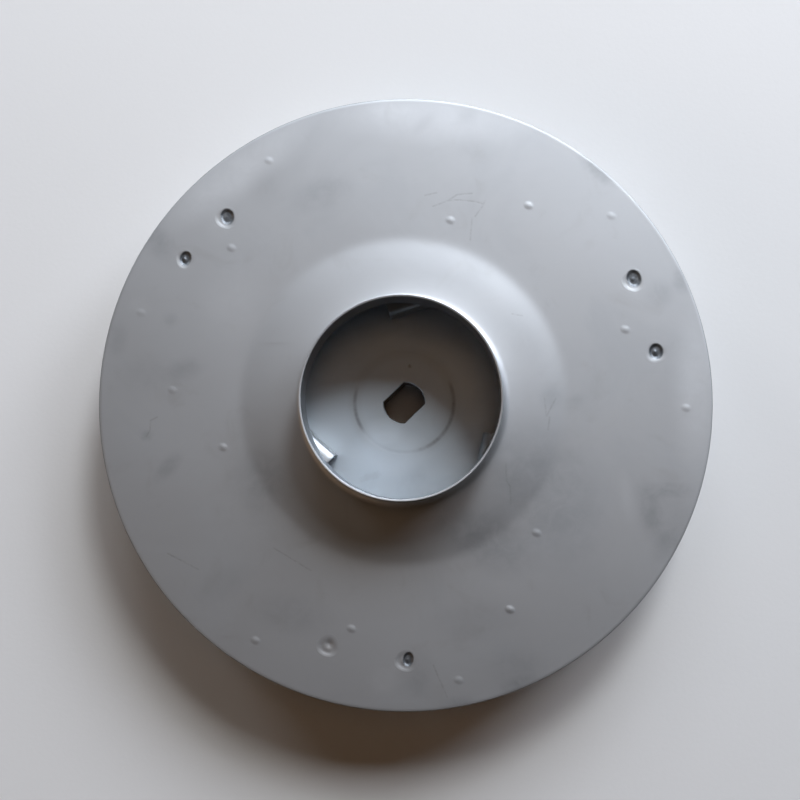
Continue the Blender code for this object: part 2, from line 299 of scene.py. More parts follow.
# Half widths of the bands of the finishes: rubbed rims, the sheared edge, the weld track and a scratch
DISC_WEAR = 0.5 * MM
MOUTH_WEAR = 1.1 * MM
VANE_WEAR = 0.6 * MM
HUB_WEAR = 0.7 * MM
SHEARED_EDGE = 0.20 * MM
TRACK_DARK = 0.85 * MM
TRACK_HEAT = 2.6 * MM
STROKE_HALF_WIDTH = 0.36 * MM

# Colours of the marks, tints that turn a steel's colour into theirs, and depths of the finest relief
PIT_COLOUR = (0.085, 0.095, 0.105)
STROKE_COLOUR = (0.22, 0.21, 0.20)
TRACK_COLOUR = (0.26, 0.28, 0.31)
FLECK_COLOUR = (0.10, 0.09, 0.08)
# painted shade for the inner tips of two vanes
VANE_TIP_SHADE_COLOUR = (0.09, 0.08, 0.07)
# painted shade for the hub's bore
BORE_SHADE_COLOUR = (0.075, 0.055, 0.040)
BLACK = (0.0, 0.0, 0.0)
STAIN_TINT = (0.38, 0.41, 0.45)
# painted shade for the neck's inner wall
WALL_SHADE_TINT = (0.42, 0.45, 0.49)
SHEET_GRAIN = 0.006 * MM
TURNED_GRAIN = 0.012 * MM
FLOOR_GRAIN = 0.02 * MM

# Floor: its rings and the distances between which it passes into the backdrop, in metres, its finish, and the tint
# of its faint clouds
FLOOR_RINGS = (0.05, 0.12, 0.3, 0.8, 2.0)
FLOOR_SEGMENTS = 96
FLOOR_FADE = (0.20, 0.75)
FLOOR_ROUGHNESS = 0.75
FLOOR_SHEEN = 0.25
FLOOR_CLOUDS = 0.985

# The z of a direction above which the horizon's light has passed into the overhead one
HORIZON_TOP = 0.55

# Camera: sensor and lens in mm, near limit and place in metres, and its axes to the right, up and back
CAMERA_SENSOR = 36.0
CAMERA_LENS = 55.575
CAMERA_NEAR = 0.01
CAMERA_PLACE = (0.012871, -0.020732, 0.337837)
CAMERA_AXES = (
    (0.99909, 0.0, -0.04269),
    (0.00279, 0.99786, 0.06539),
    (0.0426, -0.06545, 0.99695),
)

# Handling scratches on the front shroud as chains of plan points in mm
SCRATCHES = (
    ((7.9, 50.4), (11.8, 51.9), (14.1, 53.4), (18.0, 53.7)),
    ((11.8, 51.9), (14.7, 52.0), (18.4, 51.6), (21.0, 50.9)),
    ((21.4, 51.8), (20.6, 50.2), (18.8, 47.7)),
    ((18.0, 47.3), (17.5, 41.5)),
    ((5.8, 53.3), (8.8, 54.0)),
    ((28.2, 22.1), (30.8, 21.6)),
    ((36.3, 0.3), (36.8, -4.1)),
    ((39.2, 0.3), (36.8, -4.2)),
    ((37.6, -4.4), (37.2, -7.7)),
    ((26.4, -16.5), (26.5, -20.7), (27.4, -22.1), (27.6, -26.5)),
    ((-63.7, -4.2), (-65.4, -5.1), (-65.5, -7.5), (-66.4, -9.2)),
    ((-60.5, -39.4), (-52.5, -43.4)),
    ((-33.0, -38.0), (-23.5, -43.6)),
    ((7.8, -67.4), (11.2, -75.2)),
)

# Dark patches on the front shroud as (x, y, reach x, reach y, turn, strength), in mm and degrees: stains, and at
# (36, -24) a broad patch of painted shade. Then paler patches, in the same units
STAINS_AND_SHADE = (
    (-20.5, 54.0, 8.0, 4.0, 20.0, 0.16), (-36.0, 57.0, 4.5, 5.5, 0.0, 0.10),
    (5.5, 72.3, 3.6, 1.5, 40.0, 0.22), (17.0, 74.5, 2.6, 2.4, 0.0, 0.20),
    (18.0, 66.5, 4.5, 3.0, 10.0, 0.10), (50.5, 59.2, 5.6, 1.5, -42.0, 0.32),
    (71.8, 31.0, 2.4, 3.6, 0.0, 0.26), (66.0, 27.0, 3.6, 3.2, 0.0, 0.16),
    (38.6, 1.0, 3.2, 3.0, 0.0, 0.13), (43.8, -0.6, 3.0, 1.6, 30.0, 0.12),
    (31.5, 17.0, 4.0, 9.0, 25.0, 0.07), (-56.5, 8.2, 4.8, 2.8, 15.0, 0.18),
    (-67.0, 7.0, 8.0, 4.6, 0.0, 0.09), (-60.4, 21.2, 1.8, 1.6, 0.0, 0.18),
    (-74.5, 16.5, 2.6, 5.0, 0.0, 0.14), (-64.5, 42.5, 3.4, 7.0, 35.0, 0.22),
    (-60.8, -17.2, 4.6, 2.0, 48.0, 0.22), (-66.4, -8.8, 1.3, 1.1, 0.0, 0.34),
    (-28.0, -54.5, 10.0, 5.0, -8.0, 0.12), (-46.0, -47.0, 8.0, 4.0, 30.0, 0.08),
    (19.0, -56.0, 12.0, 4.2, 5.0, 0.07), (62.8, -28.6, 2.6, 7.6, 12.0, 0.25),
    (67.8, -23.0, 5.6, 1.8, 0.0, 0.22), (67.0, -36.4, 2.6, 4.8, -38.0, 0.18),
    (67.6, -28.6, 6.6, 7.4, 0.0, 0.10), (28.5, -67.5, 7.0, 5.2, 5.0, 0.12),
    (29.0, -72.0, 4.8, 1.8, 20.0, 0.20), (14.0, -76.4, 4.0, 1.2, 10.0, 0.30),
    # the last patch on the next line, at (36, -24), is painted shade
    (3.6, -69.5, 4.0, 6.0, 0.0, 0.16), (36.0, -24.0, 13.0, 18.0, 30.0, 0.22),
    (20.0, -35.0, 13.0, 7.0, -30.0, 0.28), (-36.0, -20.5, 8.0, 9.0, 0.0, 0.20),
)
PALER_PATCHES = (
    (-3.5, 76.0, 6.0, 3.0, 0.0, 0.22), (-69.0, 25.0, 3.0, 2.4, 0.0, 0.14),
    (57.0, -25.0, 1.6, 6.5, 8.0, 0.20), (-5.0, -71.5, 4.0, 3.5, 30.0, 0.20),
    (26.8, -14.3, 2.2, 1.8, 0.0, 0.20), (-48.5, 45.5, 3.0, 4.0, 0.0, 0.10),
    (-44.0, 59.5, 21.0, 5.5, 36.0, 0.62), (75.0, 2.0, 5.5, 18.0, 0.0, 0.52),
    (6.0, 74.0, 26.0, 6.5, -5.0, 0.42), (-44.0, 26.0, 9.0, 10.0, 0.0, 0.22),
)


# ---------------------------------------------------------------- mesh helpers


def smooth_step(low, high, value):
    """0 below low, 1 above high and an even curve between them."""
    t = np.clip((value - low) / (high - low), 0.0, 1.0)
    return t * t * (3 - 2 * t)


def plan(radius, angle):
    """Plan point at this radius and angle in degrees."""
    turn = math.radians(angle)
    return radius * math.cos(turn), radius * math.sin(turn)


def bell(value, middle, width):
    """A bell curve, 1 in its middle."""
    return np.exp(-(((value - middle) / width) ** 2))


def whole_turn(count):
    """Even directions round the axis, in radians."""
    return np.linspace(0, 2 * math.pi, count, endpoint=False)


def sheet_wave(x, y):
    """Slight waviness that pressing and welding leave in the front sheet, as a height in metres."""
    wave = sum(height * np.sin(along_x * x + along_y * y + phase) for height, along_x, along_y, phase in SHEET_WAVES)
    return wave * MM * smooth_step(*WAVES_FROM, np.hypot(x, y))


def dent_height(dx, dy, dent):
    """Height in mm over a punched weld dent, and how far its pit darkens a point, from 0 to 1."""
    _, _, bowl, pit, shift_x, shift_y, nub, lean = dent
    around = np.arctan2(dy, dx)
    away = np.hypot(dx, dy) * (1 + BOWL_UNEVEN * np.sin(3 * around + bowl * 9)) / bowl
    steep = 1 + BOWL_STEEPER * np.cos(around - math.radians(lean)) * smooth_step(0.2, 0.7, away)
    height = -DENT_BOWL_DEPTH * steep * (1 - smooth_step(0.45, 1.0, away))
    height += DENT_RIPPLE * np.cos(away * bowl * 11.0) * bell(away, 1.0, 0.3)
    px, py = dx - shift_x, (dy - shift_y) * PIT_SQUEEZE
    if not pit:
        return height - DENT_SHALLOW_DEPTH * bell(px, 0.0, 0.8) * bell(py, 0.0, 0.7), np.zeros_like(away)
    uneven = 1 + PIT_UNEVEN * np.sin(2 * np.arctan2(py, px) + pit * 7)
    inside = np.hypot(px, py) * uneven
    depth = 1 - smooth_step(0.62, 1.06, inside / pit)
    height -= DENT_PIT_DEPTH * depth
    height += DENT_LIP * bell(inside, pit * 1.15, 0.16)
    height += nub * np.exp(-(((px + 0.25) ** 2 + (py + 0.1) ** 2) / 0.20)) * depth
    return height, 1 - smooth_step(0.92, 1.22, inside / pit)


def pip_height(dx, dy):
    """Height in mm over a raised weld pip."""
    away = np.hypot(dx, dy * PIP_SQUEEZE + dx * PIP_SKEW) / PIP_RADIUS
    return PIP_HEIGHT * np.clip(1 - away**2, 0.0, 1.0) ** PIP_ROUNDNESS


def patch_field(table, x, y):
    """Sum of the soft patches of a table over plan points in mm."""
    total = np.zeros_like(x)
    for px, py, reach_x, reach_y, turn, strength in table:
        c, s = math.cos(math.radians(turn)), math.sin(math.radians(turn))
        along, across = (x - px) * c + (y - py) * s, (y - py) * c - (x - px) * s
        total += strength * (1 - smooth_step(0.20, 1.45, np.hypot(along / reach_x, across / reach_y)))
    return total


def rings_round(centre, reach, count, step):
    """Plan points in mm on close-set rings round a centre."""
    points = [centre]
    for ring in np.arange(step, reach + step / 2, step):
        here = max(12, int(count * min(1.0, ring / (reach * 0.5))))
        for turn in whole_turn(here):
            points.append((centre[0] + ring * math.cos(turn), centre[1] + ring * math.sin(turn)))
    return points


def filled_ring(inner, outer, segments, features, spacing):
    """Triangles of a flat ring in mm with dense rings round its features, as (plan points, triangles).

    The first 2 * segments points are the inner and the outer edge. A feature is (centre, reach, count, step).
    """
    turns = whole_turn(segments)
    points, edges = [], []
    for start, radius in ((0, inner), (segments, outer)):
        points += [(radius * math.cos(t), radius * math.sin(t)) for t in turns]
        edges += [(start + i, start + (i + 1) % segments) for i in range(segments)]
    for feature in features:
        points += rings_round(*feature)
    row, column = np.mgrid[: int(2 * outer / (spacing * ROW_STEP)) + 1, : int(2 * outer / spacing) + 1]
    x, y = -outer + (column + 0.5 * (row % 2)) * spacing, -outer + row * spacing * ROW_STEP
    room = 2 * math.pi * inner / segments
    free = (np.hypot(x, y) >= inner + room) & (np.hypot(x, y) <= outer - room)
    for (cx, cy), reach, _, _ in features:
        free &= np.hypot(x - cx, y - cy) > reach + spacing * FEATURE_ROOM
    points += zip(x[free], y[free])
    flat, _, faces, _, _, _ = delaunay_2d_cdt([Vector(p) for p in points], edges, [], 0, 1e-7)
    if len(flat) != len(points):
        raise RuntimeError("points of the flat ring fell together")
    flat = np.array([(p.x, p.y) for p in flat])
    return flat, [face for face in faces if inner < np.hypot(*flat[list(face)].mean(axis=0)) < outer]


def add_flat_ring(bm, rims, flat, faces, level, rises):
    """Put a filled ring between two rings of vertices, with rises in mm over its level. Returns its vertices."""
    verts = [*rims[0], *rims[1]]
    for (x, y), rise in list(zip(flat, rises))[len(verts) :]:
        verts.append(bm.verts.new((x * MM, y * MM, level + rise * MM)))
    for face in faces:
        bm.faces.new([verts[i] for i in face])
    return verts


def bore_radius(turn):
    """How far the bore's wall lies from the axis in this direction, in radians."""
    away = abs(math.cos(turn - math.radians(BORE_TURN + 90)))
    return min(BORE_RADIUS, BORE_HALF_FLATS / max(away, 1e-6))


def even_turns(segments):
    """Directions round the axis, with the nearest ones moved onto the four corners of the bore."""
    turns = whole_turn(segments)
    reach = math.asin(BORE_HALF_FLATS / BORE_RADIUS)
    for middle in (0.0, math.pi):
        for side in (-reach, reach):
            edge = (math.radians(BORE_TURN) + middle + side) % (2 * math.pi)
            turns[np.argmin(np.abs(turns - edge))] = edge
    return turns


def add_turned(bm, profile, turns, closed):
    """Turn a profile round Z. A radius under zero is that far outside the bore's wall. Returns rings of vertices."""
    rings = []
    for radius, height in profile:
        ring = []
        for turn in turns:
            here = radius if radius > 0 else bore_radius(turn) - radius
            ring.append(bm.verts.new((here * math.cos(turn), here * math.sin(turn), height)))
        rings.append(ring)
    pairs = list(zip(rings, rings[1:]))
    if closed:
        pairs.append((rings[-1], rings[0]))
    count = len(turns)
    for first, second in pairs:
        for i in range(count):
            j = (i + 1) % count
            bm.faces.new((first[i], first[j], second[j], second[i]))
    return rings


def corner(r, z, radius, start, end, pieces=4):
    """Rounded corner of a profile: points on an arc about (r, z), angles in degrees."""
    turns = np.radians(np.linspace(start, end, pieces + 1))
    return [(r + radius * math.cos(t), z + radius * math.sin(t)) for t in turns]


def disc_rim(low, top, ease):
    """The eased rim of a disc, from its lower face up to its upper one."""
    r = DISC_RADIUS - ease
    return corner(r, low + ease, ease, -90, 0, 3) + corner(r, top - ease, ease, 0, 90, 3)


def spread(first, last, count):
    """Evenly spaced points between two profile points, without either of them."""
    shares = np.linspace(0, 1, count + 2)[1:-1]
    return [(first[0] + (last[0] - first[0]) * t, first[1] + (last[1] - first[1]) * t) for t in shares]


def add_object(name, data):
    """A new object in the scene."""
    obj = bpy.data.objects.new(name, data)
    bpy.context.scene.collection.objects.link(obj)
    return obj


def shade_edges(mesh, sharp_from):
    """Shade a mesh smooth but for edges sharper than this angle in degrees."""
    mesh.shade_smooth()
    mesh.set_sharp_from_angle(angle=math.radians(sharp_from))


def finish_mesh(name, bm, sharp_from):
    """The mesh as an object in the scene, with its edges shaded."""
    bmesh.ops.remove_doubles(bm, verts=bm.verts, dist=1e-7)
    bmesh.ops.recalc_face_normals(bm, faces=bm.faces)
    mesh = bpy.data.meshes.new(name)
    bm.to_mesh(mesh)
    bm.free()
    shade_edges(mesh, sharp_from)
    return add_object(name, mesh)


def set_mask(obj, name, values):
    """Store a value from 0 to 1 for each vertex, for the finishes to read."""
    layer = obj.data.attributes.new(name, "FLOAT", "POINT")
    layer.data.foreach_set("value", np.asarray(values, dtype=np.float32))


def dress(piece, node, material):
    """Give a piece its finish, and let it stand for its CAD node."""
    piece.data.materials.clear()
    piece.data.materials.append(material)
    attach(piece, BODY)
    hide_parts(node)


# ---------------------------------------------------------------- pieces


def front_middle_line(pieces):
    """The middle of the front sheet from the neck's mouth to the flat, as (r, z, outward r, outward z)."""
    table = np.array(DOME_SLOPES)
    head_slope = math.radians(table[0, 1])
    head_r = NECK_RADIUS + NECK_FILLET * (1 - math.sin(head_slope))
    radii = np.linspace(head_r, table[-1, 0] * MM, 3 * pieces)
    slopes = np.radians(np.interp(radii / MM, table[:, 0], table[:, 1]))
    falls = (np.tan(slopes[1:]) + np.tan(slopes[:-1])) / 2 * np.diff(radii)
    heights = FRONT_MIDDLE + falls.sum() - np.concatenate([[0.0], np.cumsum(falls)])
    neck_z = heights[0] + NECK_FILLET * math.cos(head_slope)
    line = [(NECK_RADIUS, z, 1.0, 0.0) for z in np.linspace(NECK_TOP, neck_z, pieces)[:-1]]
    for t in np.radians(np.linspace(180, 270 - table[0, 1], pieces + 1))[:-1]:
        c, s = math.cos(t), math.sin(t)
        line.append((NECK_RADIUS + NECK_FILLET + NECK_FILLET * c, neck_z + NECK_FILLET * s, -c, -s))
    for r, z, slope in zip(radii, heights, slopes):
        line.append((r, z, math.sin(slope), math.cos(slope)))
    return line


def thinned_neck(side, mouth_radius):
    """One side of the front sheet's profile, drawn in or out toward this radius at the mouth."""
    straight = [z for r, z in side if abs(r - side[0][0]) < 1e-9]
    share = {z: (z - straight[-1]) / (straight[0] - straight[-1]) for z in straight}
    return [(r + (mouth_radius - r) * share.get(z, 0.0), z) for r, z in side]


def front_profile():
    """The front sheet's outline, from its flat ring's inner edge over the mouth and the rim to the outer edge."""
    half = FRONT_SHEET / 2
    line = front_middle_line(NECK_PIECES)
    outside = thinned_neck([(r + half * nr, z + half * nz) for r, z, nr, nz in line], MOUTH_RADII[1])
    inside = [(r - (half - NECK_THINNING * nr**2) * nr, z - half * nz) for r, z, nr, nz in line]
    inside = thinned_neck(inside, MOUTH_RADII[0])
    throat_r, throat_z = inside[0][0] + THROAT_EASE, NECK_TOP - MOUTH_SINK - THROAT_EASE
    profile = [(RING_INNER, FRONT_TOP), *outside[:0:-1]]
    profile += corner(outside[0][0] - MOUTH_EASE, NECK_TOP - MOUTH_EASE, MOUTH_EASE, 0, 90)
    profile += corner(throat_r, throat_z, THROAT_EASE, 70, 180)
    profile += inside[1:] + spread(inside[-1], (DISC_RADIUS, FRONT_LOW), DISC_LOOPS)
    return profile + disc_rim(FRONT_LOW, FRONT_TOP, FRONT_RIM_EASE) + [(RING_OUTER, FRONT_TOP)]


def make_front_shroud(segments):
    """The pressing with its neck, dome and flat ring, punched dents and raised pips."""
    bm = bmesh.new()
    rings = add_turned(bm, front_profile(), whole_turn(segments), closed=False)
    dents = [(plan(dent[0], dent[1]), dent) for dent in DENTS]
    pips = [(plan(radius, angle), share) for radius, angle, share in PIPS]
    features = [(centre, *DENT_MESH) for centre, _ in dents] + [(centre, *PIP_MESH) for centre, _ in pips]
    flat, faces = filled_ring(RING_INNER / MM, RING_OUTER / MM, segments, features, FRONT_SPACING)
    height, pit, heat = np.zeros((3, len(flat)))
    for centre, dent in dents:
        dx, dy = (flat - centre).T
        near = np.hypot(dx, dy) < DENT_MESH[0] + FEATURE_MARGIN
        rise, dark = dent_height(dx[near], dy[near], dent)
        height[near] += rise
        pit[near] = np.maximum(pit[near], dark)
        heat += bell(np.hypot(dx, dy), 0.0, DENT_HEAT_REACH)
    for centre, share in pips:
        dx, dy = (flat - centre).T
        near = np.hypot(dx, dy) < PIP_MESH[0] + FEATURE_MARGIN
        height[near] += share * pip_height(dx[near], dy[near])
    verts = add_flat_ring(bm, (rings[0], rings[-1]), flat, faces, FRONT_TOP, height)

    bm.verts.index_update()
    welds = np.zeros((2, len(bm.verts)))
    welds[:, [v.index for v in verts]] = pit, heat
    x, y, z = np.array([v.co for v in bm.verts]).T
    radius = np.hypot(x, y)
    # the neck's inner wall, which the finish burnishes and darkens with painted shade
    drawn = 1 - smooth_step(MOUTH_RADII[0] + DRAWN_EDGE[0], MOUTH_RADII[0] + DRAWN_EDGE[1], radius)
    masks = {
        "weld_pit": welds[0],
        "weld_heat": welds[1],
        "neck_inside": drawn * smooth_step(FRONT_TOP, FRONT_TOP + DRAWN_FADE, z),
        # stains, and one broad patch of painted shade
        "stains": patch_field(STAINS_AND_SHADE, x / MM, y / MM),
        "rubs": patch_field(PALER_PATCHES, x / MM, y / MM),
    }
    loose = 1 - smooth_step(*NECK_FOOT, radius)
    droop = EDGE_DROOP * np.maximum(0.0, (radius - DROOP_FROM) / (DISC_RADIUS - DROOP_FROM)) ** 2
    rise = sheet_wave(x, y) - np.where(z > FRONT_MIDDLE, droop, 0.0)
    moves = np.column_stack([(NECK_SHIFT[0] - NECK_OVAL * x) * loose, NECK_SHIFT[1] * loose, rise])
    for v, move in zip(bm.verts, moves):
        v.co += Vector(move)
    obj = finish_mesh("front_shroud_pressing", bm, DISC_SHARP_FROM)
    if len(obj.data.vertices) != len(moves):
        raise RuntimeError("vertices of the front shroud fell together")
    for name, values in masks.items():
        set_mask(obj, name, values)
    return obj


def wall_path(inner, turn):
    """Close-set plan points of one vane wall from this inner radius to past the rim, and its outward side."""
    knots = np.array([plan(r, a + turn) for r, a in LONG_PATH])
    knots = np.vstack([2 * knots[0] - knots[1], knots, 2 * knots[-1] - knots[-2]])
    points = []
    for a, b, c, d in zip(knots[:-3], knots[1:-2], knots[2:-1], knots[3:]):
        for t in np.linspace(0, 1, PATH_PIECES, endpoint=False):
            straight = 2 * b + (c - a) * t
            bent = (2 * a - 5 * b + 4 * c - d) * t**2 + (3 * b - a - 3 * c + d) * t**3
            points.append(0.5 * (straight + bent))
    points = np.array(points)
    points = points[np.hypot(points[:, 0], points[:, 1]) >= inner]
    along = np.gradient(points, axis=0)
    along /= np.linalg.norm(along, axis=1)[:, None]
    return points, np.column_stack([along[:, 1], -along[:, 0]])


def vane_columns(stations, web_count, bend_count, turn):
    """The middle surface of one double vane as columns of stations, and which stations of each wall have a foot."""
    low = BACK_TOP + VANE_SHEET / 2 + BACK_GAP
    top = FRONT_LOW - VANE_SHEET / 2 - FRONT_GAP
    wall = top - SHOULDER_HEIGHT - low - VANE_BEND
    quarter = np.radians(np.linspace(0, 90, bend_count + 1))

    def column(points, side, sideways, height):
        line = points + side * sideways
        line = line[np.hypot(line[:, 0], line[:, 1]) <= VANE_OUTER]
        run = np.concatenate([[0.0], np.cumsum(np.linalg.norm(np.diff(line, axis=0), axis=1))])
        at = run[-1] * np.linspace(0, 1, stations) ** STATION_POWER
        x, y = np.interp(at, run, line[:, 0]), np.interp(at, run, line[:, 1])
        return np.column_stack([x, y, np.full(stations, height)])

    def leg(points, side):
        has_foot = np.hypot(*column(points, side, 0.0, low)[:, :2].T) >= FOOT_FROM_RADIUS
        rows = [(VANE_FOOT, low, low), (VANE_FOOT / 2, low, low)]
        for t in quarter:
            bent = low + VANE_BEND * (1 - math.cos(t))
            rows.append((VANE_BEND * (1 - math.sin(t)), bent, low + VANE_BEND * t / quarter[-1]))
        columns = []
        for beside, bent, straight in rows:
            with_foot, without = column(points, side, beside, bent), column(points, side, 0.0, straight)
            columns.append(np.where(has_foot[:, None], with_foot, without))
        for share in (0.25, 0.5, 0.75):
            columns.append(column(points, side, 0.0, low + VANE_BEND + wall * share))
        for t in quarter:
            beside, drop = SHOULDER_WIDTH * (1 - math.cos(t)), SHOULDER_HEIGHT * (1 - math.sin(t))
            columns.append(column(points, side, -beside, top - drop))
        return columns, has_foot

    long_points, long_side = wall_path(LONG_INNER, turn)
    short_points, short_side = wall_path(SHORT_INNER, turn + VANE_PITCH)
    long_leg, long_foot = leg(long_points, long_side)
    short_leg, short_foot = leg(short_points, -short_side)
    first, last = long_leg[-1], short_leg[-1]
    first_r, first_a = np.hypot(first[:, 0], first[:, 1]), np.unwrap(np.arctan2(first[:, 1], first[:, 0]))
    last_r, last_a = np.hypot(last[:, 0], last[:, 1]), np.arctan2(last[:, 1], last[:, 0])
    opening = (last_a - first_a) % (2 * math.pi)
    web = []
    for t in np.linspace(0, 1, web_count + 2)[1:-1]:
        line_r, line_a = first_r + (last_r - first_r) * t, first_a + opening * t
        inner = max(WEB_INNER, line_r[0])
        r = inner + (line_r[-1] - inner) * np.linspace(0, 1, stations) ** STATION_POWER
        a = np.interp(r, line_r, line_a)
        web.append(np.column_stack([r * np.cos(a), r * np.sin(a), np.full(stations, top)]))
    return long_leg + web + short_leg[::-1], long_foot, short_foot


def add_modifier(obj, kind, **settings):
    """A modifier of this kind with its settings."""
    modifier = obj.modifiers.new(kind, kind)
    for key, value in settings.items():
        setattr(modifier, key, value)


def make_vane_pair(number, stations, bend_count):
    """One pressed sheet: two curved walls under a common web, with a foot on the outside of each."""
    turn = (number - 1) * 360 / VANE_SETS
    columns, long_foot, short_foot = vane_columns(stations, WEB_COLUMNS, bend_count, turn)
    bm = bmesh.new()
    grid = [[bm.verts.new(point) for point in line] for line in columns]
    last = len(columns) - 1
    for k in range(last):
        for i in range(stations - 1):
            if k < 2 and not (long_foot[i] and long_foot[i + 1]):
                continue
            if k >= last - 2 and not (short_foot[i] and short_foot[i + 1]):
                continue
            bm.faces.new((grid[k][i], grid[k][i + 1], grid[k + 1][i + 1], grid[k + 1][i]))
    bmesh.ops.delete(bm, geom=[v for v in bm.verts if not v.link_faces], context="VERTS")
    obj = finish_mesh(f"vane_pair_{number}_pressing", bm, VANE_SHARP_FROM)
    add_modifier(obj, "SOLIDIFY", thickness=VANE_SHEET, offset=0.0, use_even_offset=True, use_rim=True)
    steep = math.radians(VANE_EASE_FROM)
    add_modifier(obj, "BEVEL", width=VANE_EASE, segments=2, limit_method="ANGLE", angle_limit=steep)
    graph = bpy.context.evaluated_depsgraph_get()
    mesh = bpy.data.meshes.new_from_object(obj.evaluated_get(graph))
    obj.modifiers.clear()
    obj.data = mesh
    shade_edges(mesh, VANE_SHARP_FROM)
    return obj


def rear_weld_centres():
    """Plan points in mm of the weld dimples on the back face, over the middle of the vanes' feet."""
    centres = []
    for pair in range(VANE_SETS):
        walls = ((LONG_INNER, 0.0, 1), (SHORT_INNER, VANE_PITCH, -1))
        for inner, ahead, outward in walls:
            points, side = wall_path(inner, pair * 360 / VANE_SETS + ahead)
            beside = (points + side * outward * REAR_WELD_BESIDE) / MM
            radii = np.hypot(beside[:, 0], beside[:, 1])
            for radius in REAR_WELD_RADII:
                centres.append(tuple(beside[np.argmin(np.abs(radii - radius))]))
    return centres


def make_back_shroud(segments):
    """Flat disc with the two-flat bore, the weld track round it and weld dimples on its rear face."""
    front = [(radius, BACK_TOP) for radius in (-BORE_EASE, *FRONT_LOOPS)]
    for offset in np.linspace(-TRACK_REACH, TRACK_REACH, TRACK_LOOPS):
        depth = TRACK_DEPTH * (bell(offset, 0.0, 1.0) - 0.2 * bell(abs(offset), 1.5, 0.4))
        front.append((TRACK_RADIUS + offset * TRACK_HALF_WIDTH, BACK_TOP - depth))
    front += spread(front[-1], (DISC_RADIUS, BACK_TOP), DISC_LOOPS)
    front += disc_rim(BACK_LOW, BACK_TOP, BACK_RIM_EASE)[::-1] + [(RING_OUTER, BACK_LOW)]
    middle = [(REAR_INNER, BACK_LOW), (INNER_LOOP, BACK_LOW), (-BORE_EASE, BACK_LOW)]
    middle += [(ON_WALL, BACK_LOW + BORE_EASE), (ON_WALL, BACK_TOP - BORE_EASE), (-BORE_EASE, BACK_TOP)]
    turns = even_turns(segments)
    bm = bmesh.new()
    shell = add_turned(bm, front, turns, closed=False)
    core = add_turned(bm, middle, turns, closed=False)

    centres = rear_weld_centres()
    features = [(centre, *REAR_WELD_MESH) for centre in centres]
    flat, faces = filled_ring(REAR_INNER / MM, RING_OUTER / MM, segments, features, REAR_SPACING)
    height, heat = np.zeros((2, len(flat)))
    for centre in centres:
        away = np.hypot(*(flat - centre).T)
        height += REAR_WELD_DEPTH * (1 - smooth_step(0.7, 1.05, away / REAR_WELD_RADIUS))
        height -= REAR_WELD_LIP * bell(away, REAR_WELD_RADIUS * 1.15, 0.2)
        heat += bell(away, 0.0, REAR_HEAT_REACH)
    verts = add_flat_ring(bm, (core[0], shell[-1]), flat, faces, BACK_LOW, height)
    marks = {tuple(round(c, 7) for c in v.co): value for v, value in zip(verts, heat)}
    obj = finish_mesh("back_shroud_disc", bm, DISC_SHARP_FROM)
    set_mask(obj, "weld_heat", [marks.get(tuple(round(c, 7) for c in v.co), 0.0) for v in obj.data.vertices])
    return obj


def make_hub(segments):
    """Turned boss with chamfered rims and the two-flat bore."""
    top = BACK_LOW - BACK_GAP
    cut, ease = HUB_CHAMFER, HUB_CHAMFER_EASE
    rim = [(HUB_RADIUS - cut - ease, 0.0), (HUB_RADIUS - cut, ease * 0.4), (HUB_RADIUS - ease * 0.4, cut)]
    rim.append((HUB_RADIUS, cut + ease))
    profile = [(-HUB_BORE_EASE, 0.0), (INNER_LOOP, 0.0), *rim]
    profile += spread((HUB_RADIUS, cut), (HUB_RADIUS, top - cut), HUB_LOOPS)
    profile += [(r, top - z) for r, z in reversed(rim)]
    profile += [(INNER_LOOP, top), (-BORE_EASE, top), (ON_WALL, top - BORE_EASE), (ON_WALL, HUB_BORE_EASE)]
    bm = bmesh.new()
    add_turned(bm, profile, even_turns(segments), closed=True)
    return finish_mesh("hub_boss", bm, HUB_SHARP_FROM)


# ---------------------------------------------------------------- shared effects


